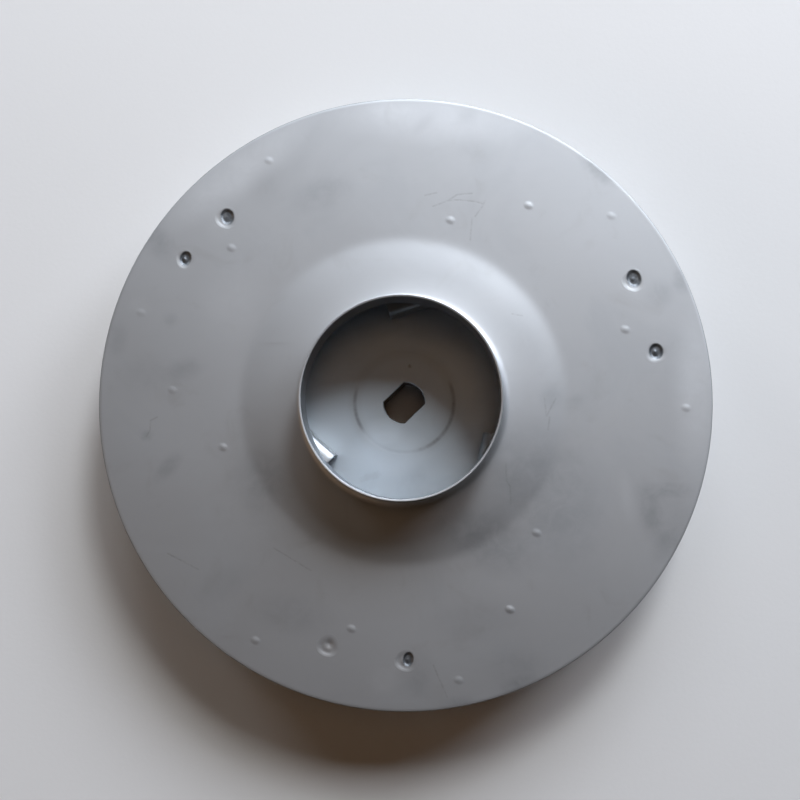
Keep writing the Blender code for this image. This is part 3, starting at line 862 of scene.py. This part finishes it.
class Nodes:
    """Short ways to add and link the nodes of one tree. A source is a socket, a number or a tuple."""

    def __init__(self, tree):
        self.tree = tree

    def feed(self, target, source):
        """Link a source into a socket, or set the socket's value."""
        if isinstance(source, bpy.types.NodeSocket):
            self.tree.links.new(source, target)
        else:
            target.default_value = (*source, 1.0) if target.type == "RGBA" else source

    def add(self, kind, sources, **settings):
        """A node of this kind with its settings, fed from {socket name or number: source}."""
        node = self.tree.nodes.new("ShaderNode" + kind)
        for key, value in settings.items():
            setattr(node, key, value)
        for key, source in sources.items():
            self.feed(node.inputs[key], source)
        return node

    def math(self, operation, *sources, clamp=False):
        """The result of a Math node."""
        return self.add("Math", dict(enumerate(sources)), operation=operation, use_clamp=clamp).outputs[0]

    def vector(self, operation, *sources):
        """The result of a Vector Math node. SCALE takes its factor second."""
        slots = (0, 3) if operation == "SCALE" else (0, 1)
        node = self.add("VectorMath", dict(zip(slots, sources)), operation=operation)
        return node.outputs["Value" if operation in ("LENGTH", "DOT_PRODUCT", "DISTANCE") else "Vector"]

    def total(self, base, terms):
        """A base plus socket * number over the terms."""
        for socket, weight in terms:
            base = self.math("MULTIPLY_ADD", socket, weight, base)
        return base

    def ranged(self, value, low, high, to_low=0.0, to_high=1.0, smooth=False):
        """A value mapped from one range to another and kept in it."""
        sources = {"Value": value, "From Min": low, "From Max": high, "To Min": to_low, "To Max": to_high}
        kind = "SMOOTHSTEP" if smooth else "LINEAR"
        return self.add("MapRange", sources, interpolation_type=kind).outputs[0]

    def mix(self, share, a, b):
        """Colour a with this share of colour b."""
        return self.add("Mix", {0: share, 6: a, 7: b}, data_type="RGBA").outputs[2]

    def place(self):
        """The point on the piece in the part's own frame, in metres."""
        return self.add("TexCoord", {}).outputs["Object"]

    def flat_place(self):
        """The same point moved to z = 0."""
        return self.vector("MULTIPLY", self.place(), (1.0, 1.0, 0.0))

    def height(self, place):
        """The z of a place."""
        return self.add("SeparateXYZ", {0: place}).outputs[2]

    def mapped(self, place, kind="POINT", **values):
        """A place through a Mapping node with this Location, Rotation and Scale."""
        return self.add("Mapping", {"Vector": place, **values}, vector_type=kind).outputs[0]

    def noise(self, scale, detail=3.0, roughness=0.5, distortion=0.0, place=None):
        """The value of a Noise Texture, in the part's own frame if no place is given."""
        sources = {"Vector": self.place() if place is None else place, "Scale": scale, "Detail": detail}
        return self.add("TexNoise", {**sources, "Roughness": roughness, "Distortion": distortion}).outputs[0]

    def mask(self, name):
        """A mask that the mesh carries."""
        return self.add("Attribute", {}, attribute_name=name).outputs["Fac"]

    def camera_ray(self):
        """1 for what the camera sees and 0 for what lights and mirrors see."""
        return self.add("LightPath", {}).outputs["Is Camera Ray"]


def socket_name(keyword):
    """The name of the group input that a keyword stands for."""
    return keyword.replace("_", " ").title()


def build_group(build, outputs, inputs):
    """The node group of a shared effect, with these names out and {keyword: default} in."""
    group = bpy.data.node_groups.new(build.__name__, "ShaderNodeTree")
    for keyword, default in inputs.items():
        kind = "NodeSocketVector" if isinstance(default, tuple) else "NodeSocketFloat"
        socket = group.interface.new_socket(name=socket_name(keyword), in_out="INPUT", socket_type=kind)
        socket.default_value = default
    for name in outputs:
        group.interface.new_socket(name=name, in_out="OUTPUT", socket_type="NodeSocketFloat")
    n = Nodes(group)
    results = build(n, *group.nodes.new("NodeGroupInput").outputs[: len(inputs)])
    ends = group.nodes.new("NodeGroupOutput").inputs
    for target, result in zip(ends, results if len(outputs) > 1 else (results,)):
        n.feed(target, result)
    return group


def shared_effect(*outputs, **inputs):
    """Make the function below a shared effect: a node group with these named outputs and inputs, built once.

    The function itself builds the group from its nodes and input sockets. What takes its name puts the group into
    another tree with some inputs set, and returns its output, or its outputs if there are several.
    """

    def wrap(build):
        @functools.wraps(build)
        def effect(n, **values):
            group = bpy.data.node_groups.get(build.__name__) or build_group(build, outputs, inputs)
            sources = {socket_name(keyword): value for keyword, value in values.items()}
            ends = n.add("Group", sources, node_tree=group).outputs
            return ends if len(outputs) > 1 else ends[0]

        return effect

    return wrap


@shared_effect("Streaks", "Grain", streak_scale=(60.0, 900.0, 60.0), turn=(0.0, 0.0, 0.3), grain_scale=2600.0)
def rolled_grain(n, streak_scale, turn, grain_scale):
    """Fine grain of rolled sheet: streaks along the rolling direction over an even matt grain."""
    along = n.mapped(n.place(), Rotation=turn, Scale=streak_scale)
    return n.noise(1.0, 3.0, 0.6, place=along), n.noise(grain_scale, 2.0, 0.6)


@shared_effect("Patches", scale=40.0, low=0.45, high=0.75)
def stain_clouds(n, scale, low, high):
    """Soft cloudy patches, as water and hands leave on bare steel."""
    return n.ranged(n.noise(scale, 4.0, 0.55, 0.6), low, high, smooth=True)


@shared_effect("Band", radius=0.05, half_width=0.001)
def ring_band(n, radius, half_width):
    """A band at this radius round the axis, 1 in its middle and 0 beyond its half width."""
    away = n.math("ABSOLUTE", n.math("SUBTRACT", n.vector("LENGTH", n.flat_place()), radius))
    return n.ranged(n.math("DIVIDE", away, half_width), 0.0, 1.0, 1.0, 0.0, smooth=True)


@shared_effect("Wear", edge=0.0, break_up_scale=700.0, amount=0.6)
def edge_wear(n, edge, break_up_scale, amount):
    """Rubbed edges: an edge band broken up by small noise."""
    chips = n.noise(break_up_scale, 3.0, 0.6)
    return n.ranged(n.math("MULTIPLY", edge, n.math("ADD", chips, amount)), 0.35, 0.95, smooth=True)


@shared_effect("Stroke", start=(0.0, 0.0, 0.0), run=(0.01, 0.0, 0.0), run_squared=0.0001, half_width=0.0002)
def scratch_stroke(n, start, run, run_squared, half_width):
    """One straight stroke of a scratch from a plan point along a run, with soft sides."""
    to_point = n.vector("SUBTRACT", n.flat_place(), start)
    share = n.math("DIVIDE", n.vector("DOT_PRODUCT", to_point, run), run_squared, clamp=True)
    away = n.vector("DISTANCE", to_point, n.vector("SCALE", run, share))
    return n.ranged(n.math("DIVIDE", away, half_width), 0.1, 1.0, 1.0, 0.0, smooth=True)


@shared_effect("Hairlines", scale=55.0, sparseness=0.70)
def fine_scratches(n, scale, sparseness):
    """Hairline scratches in a few directions, sparse and short."""
    lines = 0.0
    for turn, shift in ((0.4, 0.0), (1.35, 3.1), (2.5, 7.7)):
        moved = {"Location": (shift, shift, 0.0), "Rotation": (0.0, 0.0, turn), "Scale": (1.0, 40.0, 1.0)}
        line = n.noise(scale, 1.0, 0.4, place=n.mapped(n.place(), **moved))
        lines = n.math("MAXIMUM", n.ranged(line, sparseness, 0.80), lines)
    return n.math("MULTIPLY", lines, n.ranged(n.noise(60.0, 2.0), 0.45, 0.65))


@shared_effect("Cloud", scale=260.0)
def break_up(n, scale):
    """Uneven cloud that breaks the outlines of stains and strokes, about 0 in its middle."""
    return n.math("SUBTRACT", n.noise(scale, 4.0, 0.62, 0.5), 0.5)


@shared_effect("Patch", centre=(0.0, 0.0, 0.0), reach=(0.01, 0.01, 1.0), turn=(0.0, 0.0, 0.0), cloud=0.0)
def stain_patch(n, centre, reach, turn, cloud):
    """One soft patch about a plan point, with its outline broken by a cloud."""
    inside = n.mapped(n.flat_place(), "TEXTURE", Location=centre, Rotation=turn, Scale=reach)
    level = n.math("MULTIPLY_ADD", cloud, 2.4, n.math("SUBTRACT", 1.0, n.vector("LENGTH", inside)))
    return n.ranged(level, -0.10, 0.65, smooth=True)


@shared_effect("Share", middle=(1.0, 0.0, 0.0), outer=0.5, inner=0.6)
def arc_share(n, middle, outer, inner):
    """1 within an arc round the axis and 0 beyond it, from the cosines of its outer and inner half lengths."""
    level = n.vector("DOT_PRODUCT", n.vector("NORMALIZE", n.flat_place()), middle)
    return n.ranged(level, outer, inner, smooth=True)


@shared_effect("Heat", "Pit", break_up_scale=900.0)
def weld_marks(n, break_up_scale):
    """Heat and pit masks that the meshes carry at their welds, broken up a little."""
    uneven = n.ranged(n.noise(break_up_scale), 0.3, 0.7, 0.7, 1.1)
    return [n.math("MULTIPLY", n.mask(name), uneven, clamp=True) for name in ("weld_heat", "weld_pit")]


@shared_effect("Shade", break_up_scale=160.0)
def drawn_wall(n, break_up_scale):
    """The neck's inner wall: its burnish, and the painted shade that darkens it, a little uneven."""
    uneven = n.ranged(n.noise(break_up_scale), 0.2, 0.6, 0.8, 1.0)
    return n.math("MULTIPLY", n.mask("neck_inside"), uneven, clamp=True)


@shared_effect("Lines", line_scale=9000.0)
def turning_lines(n, line_scale):
    """Fine tool lines of turned steel, round the axis."""
    along = n.math("ADD", n.vector("LENGTH", n.flat_place()), n.height(n.place()))
    return n.add("TexNoise", {"W": along, "Scale": line_scale, "Detail": 2.0}, noise_dimensions="1D").outputs[0]


# ---------------------------------------------------------------- finishes


class Surface(Nodes):
    """The nodes of a new material, and the steps that feed its shader."""

    def __init__(self, name, colour, roughness, metallic=1.0):
        self.material = bpy.data.materials.new(name)
        self.material.use_nodes = True
        self.material.diffuse_color = (*colour, 1.0)
        super().__init__(self.material.node_tree)
        self.colour, self.roughness = colour, roughness
        self.shade({"Base Color": colour, "Metallic": metallic, "Roughness": roughness})

    def shade(self, sources):
        """Feed the shader from {socket name: source}."""
        shader = self.tree.nodes["Principled BSDF"]
        for name, source in sources.items():
            self.feed(shader.inputs[name], source)

    def relief(self, height, depth):
        """Bump from a height in shares of a depth in metres."""
        bump = self.add("Bump", {"Strength": 1.0, "Distance": depth, "Height": height})
        self.shade({"Normal": bump.outputs[0]})

    def complete(self, layers, trim, roughness_terms, height_terms, depth=SHEET_GRAIN):
        """The finished steel, from its effects.

        Layers are (mask, strength, colour) in order over the bare colour. The roughness is the bare one with a trim
        and its terms, and the relief is the sum of its own terms.
        """
        colour = self.colour
        for mask, strength, over in layers:
            share = mask if strength == 1.0 else self.math("MULTIPLY", mask, strength)
            colour = self.mix(share, colour, over)
        self.shade({"Base Color": colour, "Roughness": self.total(self.roughness + trim, roughness_terms)})
        self.relief(self.total(0.0, height_terms), depth)
        return self.material


def tint(colour, factor):
    """A colour times a number or three numbers, with no part over 1."""
    return [min(1.0, part) for part in np.asarray(colour) * factor]


def patches(n, table, cloud):
    """Sum of the soft patches of a table, each by its strength."""
    terms = []
    for x, y, reach_x, reach_y, turn, strength in table:
        centre, reach = (x * MM, y * MM, 0.0), (reach_x * MM, reach_y * MM, 1.0)
        patch = stain_patch(n, centre=centre, reach=reach, turn=(0.0, 0.0, math.radians(turn)), cloud=cloud)
        terms.append((patch, strength))
    return n.total(0.0, terms)


def scratches(n):
    """The handling scratches of the front shroud, broken up along their strokes."""
    strokes = 0.0
    for chain in SCRATCHES:
        for (ax, ay), (bx, by) in zip(chain, chain[1:]):
            run = Vector(((bx - ax) * MM, (by - ay) * MM, 0.0))
            ends = {"start": (ax * MM, ay * MM, 0.0), "run": tuple(run), "run_squared": run.length_squared}
            strokes = n.math("MAXIMUM", scratch_stroke(n, half_width=STROKE_HALF_WIDTH, **ends), strokes)
    return n.math("MULTIPLY", strokes, n.ranged(break_up(n, scale=900.0), -0.16, 0.10, 0.15, 1.0))


def track_arcs(n):
    """1 along the darkened parts of the weld track."""
    arcs = 0.0
    for middle, half in TRACK_ARCS:
        outer, inner = math.cos(math.radians(half + ARC_FADE)), math.cos(math.radians(half - ARC_FADE))
        arc = arc_share(n, middle=(*plan(1.0, middle), 0.0), outer=outer, inner=inner)
        arcs = n.math("MAXIMUM", arc, arcs)
    return arcs


def front_sheet_finish(finish):
    """Satin stainless sheet with handling marks, rubbed rims and heat round the welds, and painted shade inside the
    neck and in one broad patch.
    """
    bare = finish.front_colour
    n = Surface("satin_stainless_sheet", bare, finish.front_roughness)
    streaks, grain = rolled_grain(n, turn=(0.0, 0.0, 0.35))
    clouds = stain_clouds(n, scale=33.0)
    blots = stain_clouds(n, scale=95.0, low=0.55, high=0.78)
    heat, pit = weld_marks(n)
    hair, drawn = fine_scratches(n), drawn_wall(n)
    rim = ring_band(n, radius=DISC_RADIUS, half_width=DISC_WEAR)
    mouth = ring_band(n, radius=NECK_RADIUS, half_width=MOUTH_WEAR)
    at_mouth = n.ranged(n.height(n.place()), NECK_TOP - 0.5 * MM, NECK_TOP - 0.1 * MM)
    wear = edge_wear(n, edge=n.math("MAXIMUM", rim, n.math("MULTIPLY", mouth, at_mouth)))
    cloud, strokes = break_up(n), scratches(n)
    cloudy, evener = n.ranged(cloud, -0.17, 0.14, 0.52, 1.20), n.ranged(cloud, -0.17, 0.14, 0.82, 1.08)
    layers = (
        (clouds, 1.0, tint(bare, 0.93)),
        (blots, 0.35, finish.stain_colour),
        # stains, and one broad patch of painted shade right of the neck
        (n.math("MULTIPLY", n.mask("stains"), cloudy, clamp=True), 1.0, tint(finish.stain_colour, STAIN_TINT)),
        # paler patches on the front sheet
        (n.math("MULTIPLY", n.mask("rubs"), evener, clamp=True), 1.0, tint(bare, 1.35)),
        (heat, 0.20, finish.heat_colour),
        (pit, 0.88, PIT_COLOUR),
        (strokes, 0.26, STROKE_COLOUR),
        (wear, 1.0, tint(bare, 1.02)),
        # painted shade on the neck's inner wall
        (drawn, 1.0, tint(bare, WALL_SHADE_TINT)),
        (ring_band(n, radius=DISC_RADIUS, half_width=SHEARED_EDGE), 1.0, tint(bare, 0.32)),
    )
    roughness = ((streaks, 0.03), (clouds, 0.03), (wear, -0.04), (hair, -0.05), (drawn, -0.20))
    return n.complete(layers, -0.015, roughness, ((grain, 0.5), (streaks, 0.25), (strokes, -1.2), (hair, -0.3)))


def back_sheet_finish(finish):
    """Mill-finish stainless sheet with heat colours beside the weld track and over the rear welds, and painted light
    inside the eye.
    """
    bare = finish.back_colour
    n = Surface("mill_stainless_sheet", bare, finish.back_roughness)
    streaks, grain = rolled_grain(n, turn=(0.0, 0.0, 1.1))
    clouds, hair = stain_clouds(n, scale=45.0), fine_scratches(n, scale=45.0)
    track = ring_band(n, radius=TRACK_RADIUS - 0.1 * MM, half_width=TRACK_DARK)
    uneven = n.ranged(break_up(n, scale=420.0), -0.20, 0.12, 0.45, 1.0)
    wear = edge_wear(n, edge=ring_band(n, radius=DISC_RADIUS, half_width=DISC_WEAR))
    layers = (
        (clouds, 1.0, tint(bare, 0.92)),
        (ring_band(n, radius=TRACK_RADIUS, half_width=TRACK_HEAT), 0.12, finish.heat_colour),
        (n.math("MULTIPLY", n.math("MULTIPLY", track, track_arcs(n)), uneven), 0.62, TRACK_COLOUR),
        (weld_marks(n)["Heat"], 0.30, finish.heat_colour),
        # painted light where the light through the neck falls on the back shroud
        (n.math("MINIMUM", patches(n, BACK_PAINTED_LIGHT, 0.0), 1.0), 1.0, tint(bare, 1.19)),
        (patches(n, BACK_FLECKS, break_up(n)), 1.0, FLECK_COLOUR),
        (wear, 1.0, tint(bare, 1.15)),
    )
    roughness = ((streaks, 0.08), (clouds, 0.04), (wear, -0.15), (hair, -0.10))
    return n.complete(layers, -0.04, roughness, ((grain, 0.5), (streaks, 0.3), (hair, -0.3)))


def vane_finish(finish):
    """Pressed stainless sheet with drawing streaks, and painted shade on the inner tips of two vanes."""
    bare = finish.vane_colour
    n = Surface("pressed_vane_sheet", bare, finish.vane_roughness)
    streaks, grain = rolled_grain(n, streak_scale=(80.0, 80.0, 1400.0), turn=(0.0, 0.0, 0.0))
    clouds = stain_clouds(n, scale=70.0)
    wear = edge_wear(n, edge=ring_band(n, radius=VANE_OUTER, half_width=VANE_WEAR))
    layers = (
        (clouds, 1.0, tint(bare, 0.85)),
        # painted shade on the inner tips of two vanes, where the neck's shadow falls
        (patches(n, VANE_TIP_SHADE, break_up(n)), 1.0, VANE_TIP_SHADE_COLOUR),
        (wear, 1.0, tint(bare, 1.2)),
    )
    roughness = ((streaks, 0.10), (clouds, 0.05), (wear, -0.14))
    return n.complete(layers, -0.05, roughness, ((grain, 0.5), (streaks, 0.5)))


def hub_finish(finish):
    """Turned steel with fine tool lines, rubbed rims, and painted shade down the bore."""
    bare = finish.hub_colour
    n = Surface("turned_hub_steel", bare, finish.hub_roughness)
    lines, clouds = turning_lines(n), stain_clouds(n, scale=120.0)
    rim = ring_band(n, radius=HUB_RADIUS - 0.3 * MM, half_width=HUB_WEAR)
    wear = edge_wear(n, edge=rim, break_up_scale=900.0)
    radius = n.vector("LENGTH", n.flat_place())
    # painted shade down the bore's wall
    bore_shade = n.ranged(radius, BORE_RADIUS + 0.05 * MM, BORE_RADIUS + 0.25 * MM, 0.8, 0.0)
    layers = (
        (clouds, 1.0, tint(bare, 0.88)),
        (bore_shade, 1.0, BORE_SHADE_COLOUR),
        (wear, 1.0, tint(bare, 1.15)),
    )
    roughness = ((lines, 0.12), (clouds, 0.06), (wear, -0.08))
    return n.complete(layers, -0.06, roughness, ((lines, 1.0),), TURNED_GRAIN)


# ---------------------------------------------------------------- stage


def make_floor(stage):
    """A wide plain floor under the impeller that passes into the pale backdrop far from it."""
    bm = bmesh.new()
    profile = [(radius, 0.0) for radius in (*FLOOR_RINGS, stage.floor_radius)]
    rings = add_turned(bm, profile, whole_turn(FLOOR_SEGMENTS), closed=False)
    bm.faces.new(rings[0])
    floor = finish_mesh("studio_floor", bm, DISC_SHARP_FROM)
    for polygon in floor.data.polygons:
        if polygon.normal.z < 0:
            polygon.flip()
    n = Surface("pale_floor", stage.floor_colour, FLOOR_ROUGHNESS, metallic=0.0)
    clouds = stain_clouds(n, scale=3.0, low=0.3, high=0.7)
    colour = n.mix(clouds, stage.floor_colour, tint(stage.floor_colour, FLOOR_CLOUDS))
    far = n.ranged(n.vector("LENGTH", n.place()), *FLOOR_FADE, smooth=True)
    far = n.math("MULTIPLY", far, n.camera_ray())
    n.shade({"Base Color": n.mix(far, colour, BLACK), "Emission Color": n.mix(far, BLACK, stage.backdrop_colour)})
    n.shade({"Emission Strength": 1.0, "Specular IOR Level": FLOOR_SHEEN})
    n.relief(n.noise(900.0, 2.0), FLOOR_GRAIN)
    floor.data.materials.append(n.material)


def add_round_light(name, tilt, turn, size, power, colour):
    """A round soft light aimed at the impeller from this tilt off the vertical and direction, in degrees."""
    light = bpy.data.lights.new(name, "AREA")
    light.shape = "DISK"
    light.size, light.energy, light.color = size, power, colour
    obj = add_object(name, light)
    high, out = plan(LIGHT_DISTANCE, tilt)
    place = Vector((*plan(out, turn), high))
    obj.location = place
    obj.rotation_euler = (Vector((0.0, 0.0, FRONT_TOP)) - place).to_track_quat("-Z", "Y").to_euler()
    obj.visible_camera = False


def set_world(stage):
    """Plain studio surroundings: dim overhead and paler toward the horizon, with a pale backdrop in view."""
    world = bpy.data.worlds.new("studio_surroundings")
    bpy.context.scene.world = world
    world.use_nodes = True
    n = Nodes(world.node_tree)
    up = n.height(n.add("TexCoord", {}).outputs["Generated"])
    low = n.ranged(up, 0.0, HORIZON_TOP, 1.0, 0.0, smooth=True)
    colour = n.mix(low, stage.overhead_colour, stage.horizon_colour)
    seen = n.mix(n.camera_ray(), colour, stage.backdrop_colour)
    n.feed(n.tree.nodes["Background"].inputs["Color"], seen)


def make_camera():
    """The camera at the photograph's viewing angle, looking nearly straight down the suction neck."""
    lens = bpy.data.cameras.new("view_camera")
    lens.sensor_width = CAMERA_SENSOR
    lens.lens = CAMERA_LENS
    lens.clip_start = CAMERA_NEAR
    camera = add_object("view_camera", lens)
    camera.matrix_world = Matrix.Translation(CAMERA_PLACE) @ Matrix(CAMERA_AXES).transposed().to_4x4()
    bpy.context.scene.camera = camera


# ---------------------------------------------------------------- settings


def colour_setting(name, description, default):
    """A colour that the panel shows."""
    return FloatVectorProperty(
        name=name, description=description, default=default, subtype="COLOR", size=3, min=0.0, max=1.0
    )


def roughness_setting(piece, default):
    """The roughness of one piece's steel."""
    return FloatProperty(
        name=f"{piece} roughness", description="Roughness of its steel", default=default, min=0.0, max=1.0
    )


def count_setting(name, description, default, low, high):
    """A whole number within limits."""
    return IntProperty(name=name, description=description, default=default, min=low, max=high)


def length_setting(name, description, default, low):
    """A length in metres with a lower limit."""
    return FloatProperty(name=name, description=description, default=default, min=low, unit="LENGTH")


class ImpellerDetail(bpy.types.PropertyGroup):
    """How finely the pieces are built."""

    turned_segments: count_setting("Turned segments", "Segments round each turned piece", 288, 96, 512)
    vane_stations: count_setting("Vane stations", "Stations along each vane wall", 90, 20, 200)
    vane_bend_pieces: count_setting("Vane bend pieces", "Pieces round each bend of a vane", 7, 2, 16)


class ImpellerFinish(bpy.types.PropertyGroup):
    """Colours and roughness of the steels."""

    front_colour: colour_setting("Front shroud", "Bare colour of the front sheet", (0.55, 0.56, 0.565))
    front_roughness: roughness_setting("Front shroud", 0.54)
    back_colour: colour_setting("Back shroud", "Bare colour of the back sheet", (0.72, 0.79, 0.84))
    back_roughness: roughness_setting("Back shroud", 0.58)
    vane_colour: colour_setting("Vanes", "Bare colour of the vane sheet", (0.48, 0.50, 0.51))
    vane_roughness: roughness_setting("Vane", 0.48)
    hub_colour: colour_setting("Hub", "Bare colour of the turned hub", (0.60, 0.60, 0.59))
    hub_roughness: roughness_setting("Hub", 0.34)
    stain_colour: colour_setting("Stains", "Colour of dried water and hand marks", (0.44, 0.44, 0.43))
    heat_colour: colour_setting("Weld heat", "Colour that welding heat leaves", (0.40, 0.36, 0.32))


class ImpellerStage(bpy.types.PropertyGroup):
    """Floor, surroundings and lights."""

    floor_radius: length_setting("Floor radius", "How far the floor reaches", 6.0, 1.0)
    floor_colour: colour_setting("Floor", "Colour of the plain floor", (0.74, 0.72, 0.69))
    overhead_colour: colour_setting("Overhead", "Light from straight above", (0.010, 0.006, 0.003))
    horizon_colour: colour_setting("Horizon", "Light from round the horizon", (0.020, 0.016, 0.012))
    backdrop_colour: colour_setting("Backdrop", "Backdrop past the floor's edge", (0.72, 0.72, 0.72))
    sky_colour: colour_setting("Sky lights", "Colour of the low soft lights of the bank", (0.800, 0.870, 1.0))
    cool_colour: colour_setting("Cool lights", "Colour of the high soft lights of the bank", (0.880, 0.935, 1.0))
    warm_colour: colour_setting("Warm lights", "Colour of the faint lights from elsewhere", (1.0, 0.66, 0.43))
    light_power: FloatProperty(name="Light power", description="Power of all the lights", default=1.20, min=0.0)
    light_size: length_setting("Light size", "Width of each soft light", 0.50, 0.05)


# ---------------------------------------------------------------- operators


def add_turned_piece(scene, node, make, finish):
    """Make one turned piece with its finish, in the place of its CAD node."""
    piece = make(scene.impeller_detail.turned_segments)
    dress(piece, node, finish(scene.impeller_finish))
    return {"FINISHED"}


class IMPELLER_OT_front_shroud(bpy.types.Operator):
    """Build the front shroud: flat ring, dome and suction neck with their weld marks"""

    bl_idname = "impeller.front_shroud"
    bl_label = "Front shroud"

    def execute(self, context):
        return add_turned_piece(context.scene, "front_shroud", make_front_shroud, front_sheet_finish)


class IMPELLER_OT_back_shroud(bpy.types.Operator):
    """Build the back shroud: flat disc with the two-flat bore and its welds"""

    bl_idname = "impeller.back_shroud"
    bl_label = "Back shroud"

    def execute(self, context):
        return add_turned_piece(context.scene, "back_shroud", make_back_shroud, back_sheet_finish)


class IMPELLER_OT_vane_pairs(bpy.types.Operator):
    """Build the three pressed double vanes between the shrouds"""

    bl_idname = "impeller.vane_pairs"
    bl_label = "Vane pairs"

    def execute(self, context):
        detail = context.scene.impeller_detail
        material = vane_finish(context.scene.impeller_finish)
        for number in range(1, VANE_SETS + 1):
            piece = make_vane_pair(number, detail.vane_stations, detail.vane_bend_pieces)
            dress(piece, f"vane_pair_{number}", material)
        return {"FINISHED"}


class IMPELLER_OT_hub(bpy.types.Operator):
    """Build the turned hub behind the back shroud"""

    bl_idname = "impeller.hub"
    bl_label = "Hub"

    def execute(self, context):
        return add_turned_piece(context.scene, "hub", make_hub, hub_finish)


class IMPELLER_OT_stage(bpy.types.Operator):
    """Set up the floor, the surroundings, the soft lights and the camera"""

    bl_idname = "impeller.stage"
    bl_label = "Stage"

    def execute(self, context):
        stage = context.scene.impeller_stage
        make_floor(stage)
        set_world(stage)
        for bank, lights in SOFT_LIGHTS.items():
            size, colour = stage.light_size * LIGHT_SIZES[bank], getattr(stage, f"{bank}_colour")
            for number, (tilt, turn, power) in enumerate(lights, 1):
                add_round_light(f"{bank}_light_{number}", tilt, turn, size, power * stage.light_power, colour)
        make_camera()
        context.scene.view_settings.view_transform = "Standard"
        return {"FINISHED"}


class IMPELLER_PT_panel(bpy.types.Panel):
    """Lists the steps that dress the impeller and the settings they use"""

    bl_idname = "IMPELLER_PT_panel"
    bl_label = "Pump impeller"
    bl_space_type = "VIEW_3D"
    bl_region_type = "UI"
    bl_category = "Impeller"

    def draw(self, context):
        steps = self.layout.column(align=True)
        for step in STEPS:
            steps.operator(step.bl_idname)
        for name in SETTINGS:
            group = getattr(context.scene, name)
            box = self.layout.box()
            box.label(text=group.__doc__)
            for key in group.__annotations__:
                box.prop(group, key)


SETTINGS = {
    "impeller_detail": ImpellerDetail,
    "impeller_finish": ImpellerFinish,
    "impeller_stage": ImpellerStage,
}
STEPS = (
    IMPELLER_OT_front_shroud,
    IMPELLER_OT_back_shroud,
    IMPELLER_OT_vane_pairs,
    IMPELLER_OT_hub,
    IMPELLER_OT_stage,
)
CLASSES = (*SETTINGS.values(), *STEPS, IMPELLER_PT_panel)


def register():
    for cls in CLASSES:
        bpy.utils.register_class(cls)
    for name, cls in SETTINGS.items():
        setattr(bpy.types.Scene, name, PointerProperty(type=cls))


def unregister():
    for name in SETTINGS:
        delattr(bpy.types.Scene, name)
    for cls in reversed(CLASSES):
        bpy.utils.unregister_class(cls)


def main():
    """Build every piece and the stage."""
    register()
    bpy.ops.impeller.front_shroud()
    bpy.ops.impeller.back_shroud()
    bpy.ops.impeller.vane_pairs()
    bpy.ops.impeller.hub()
    bpy.ops.impeller.stage()


if __name__ == "__main__":
    main()
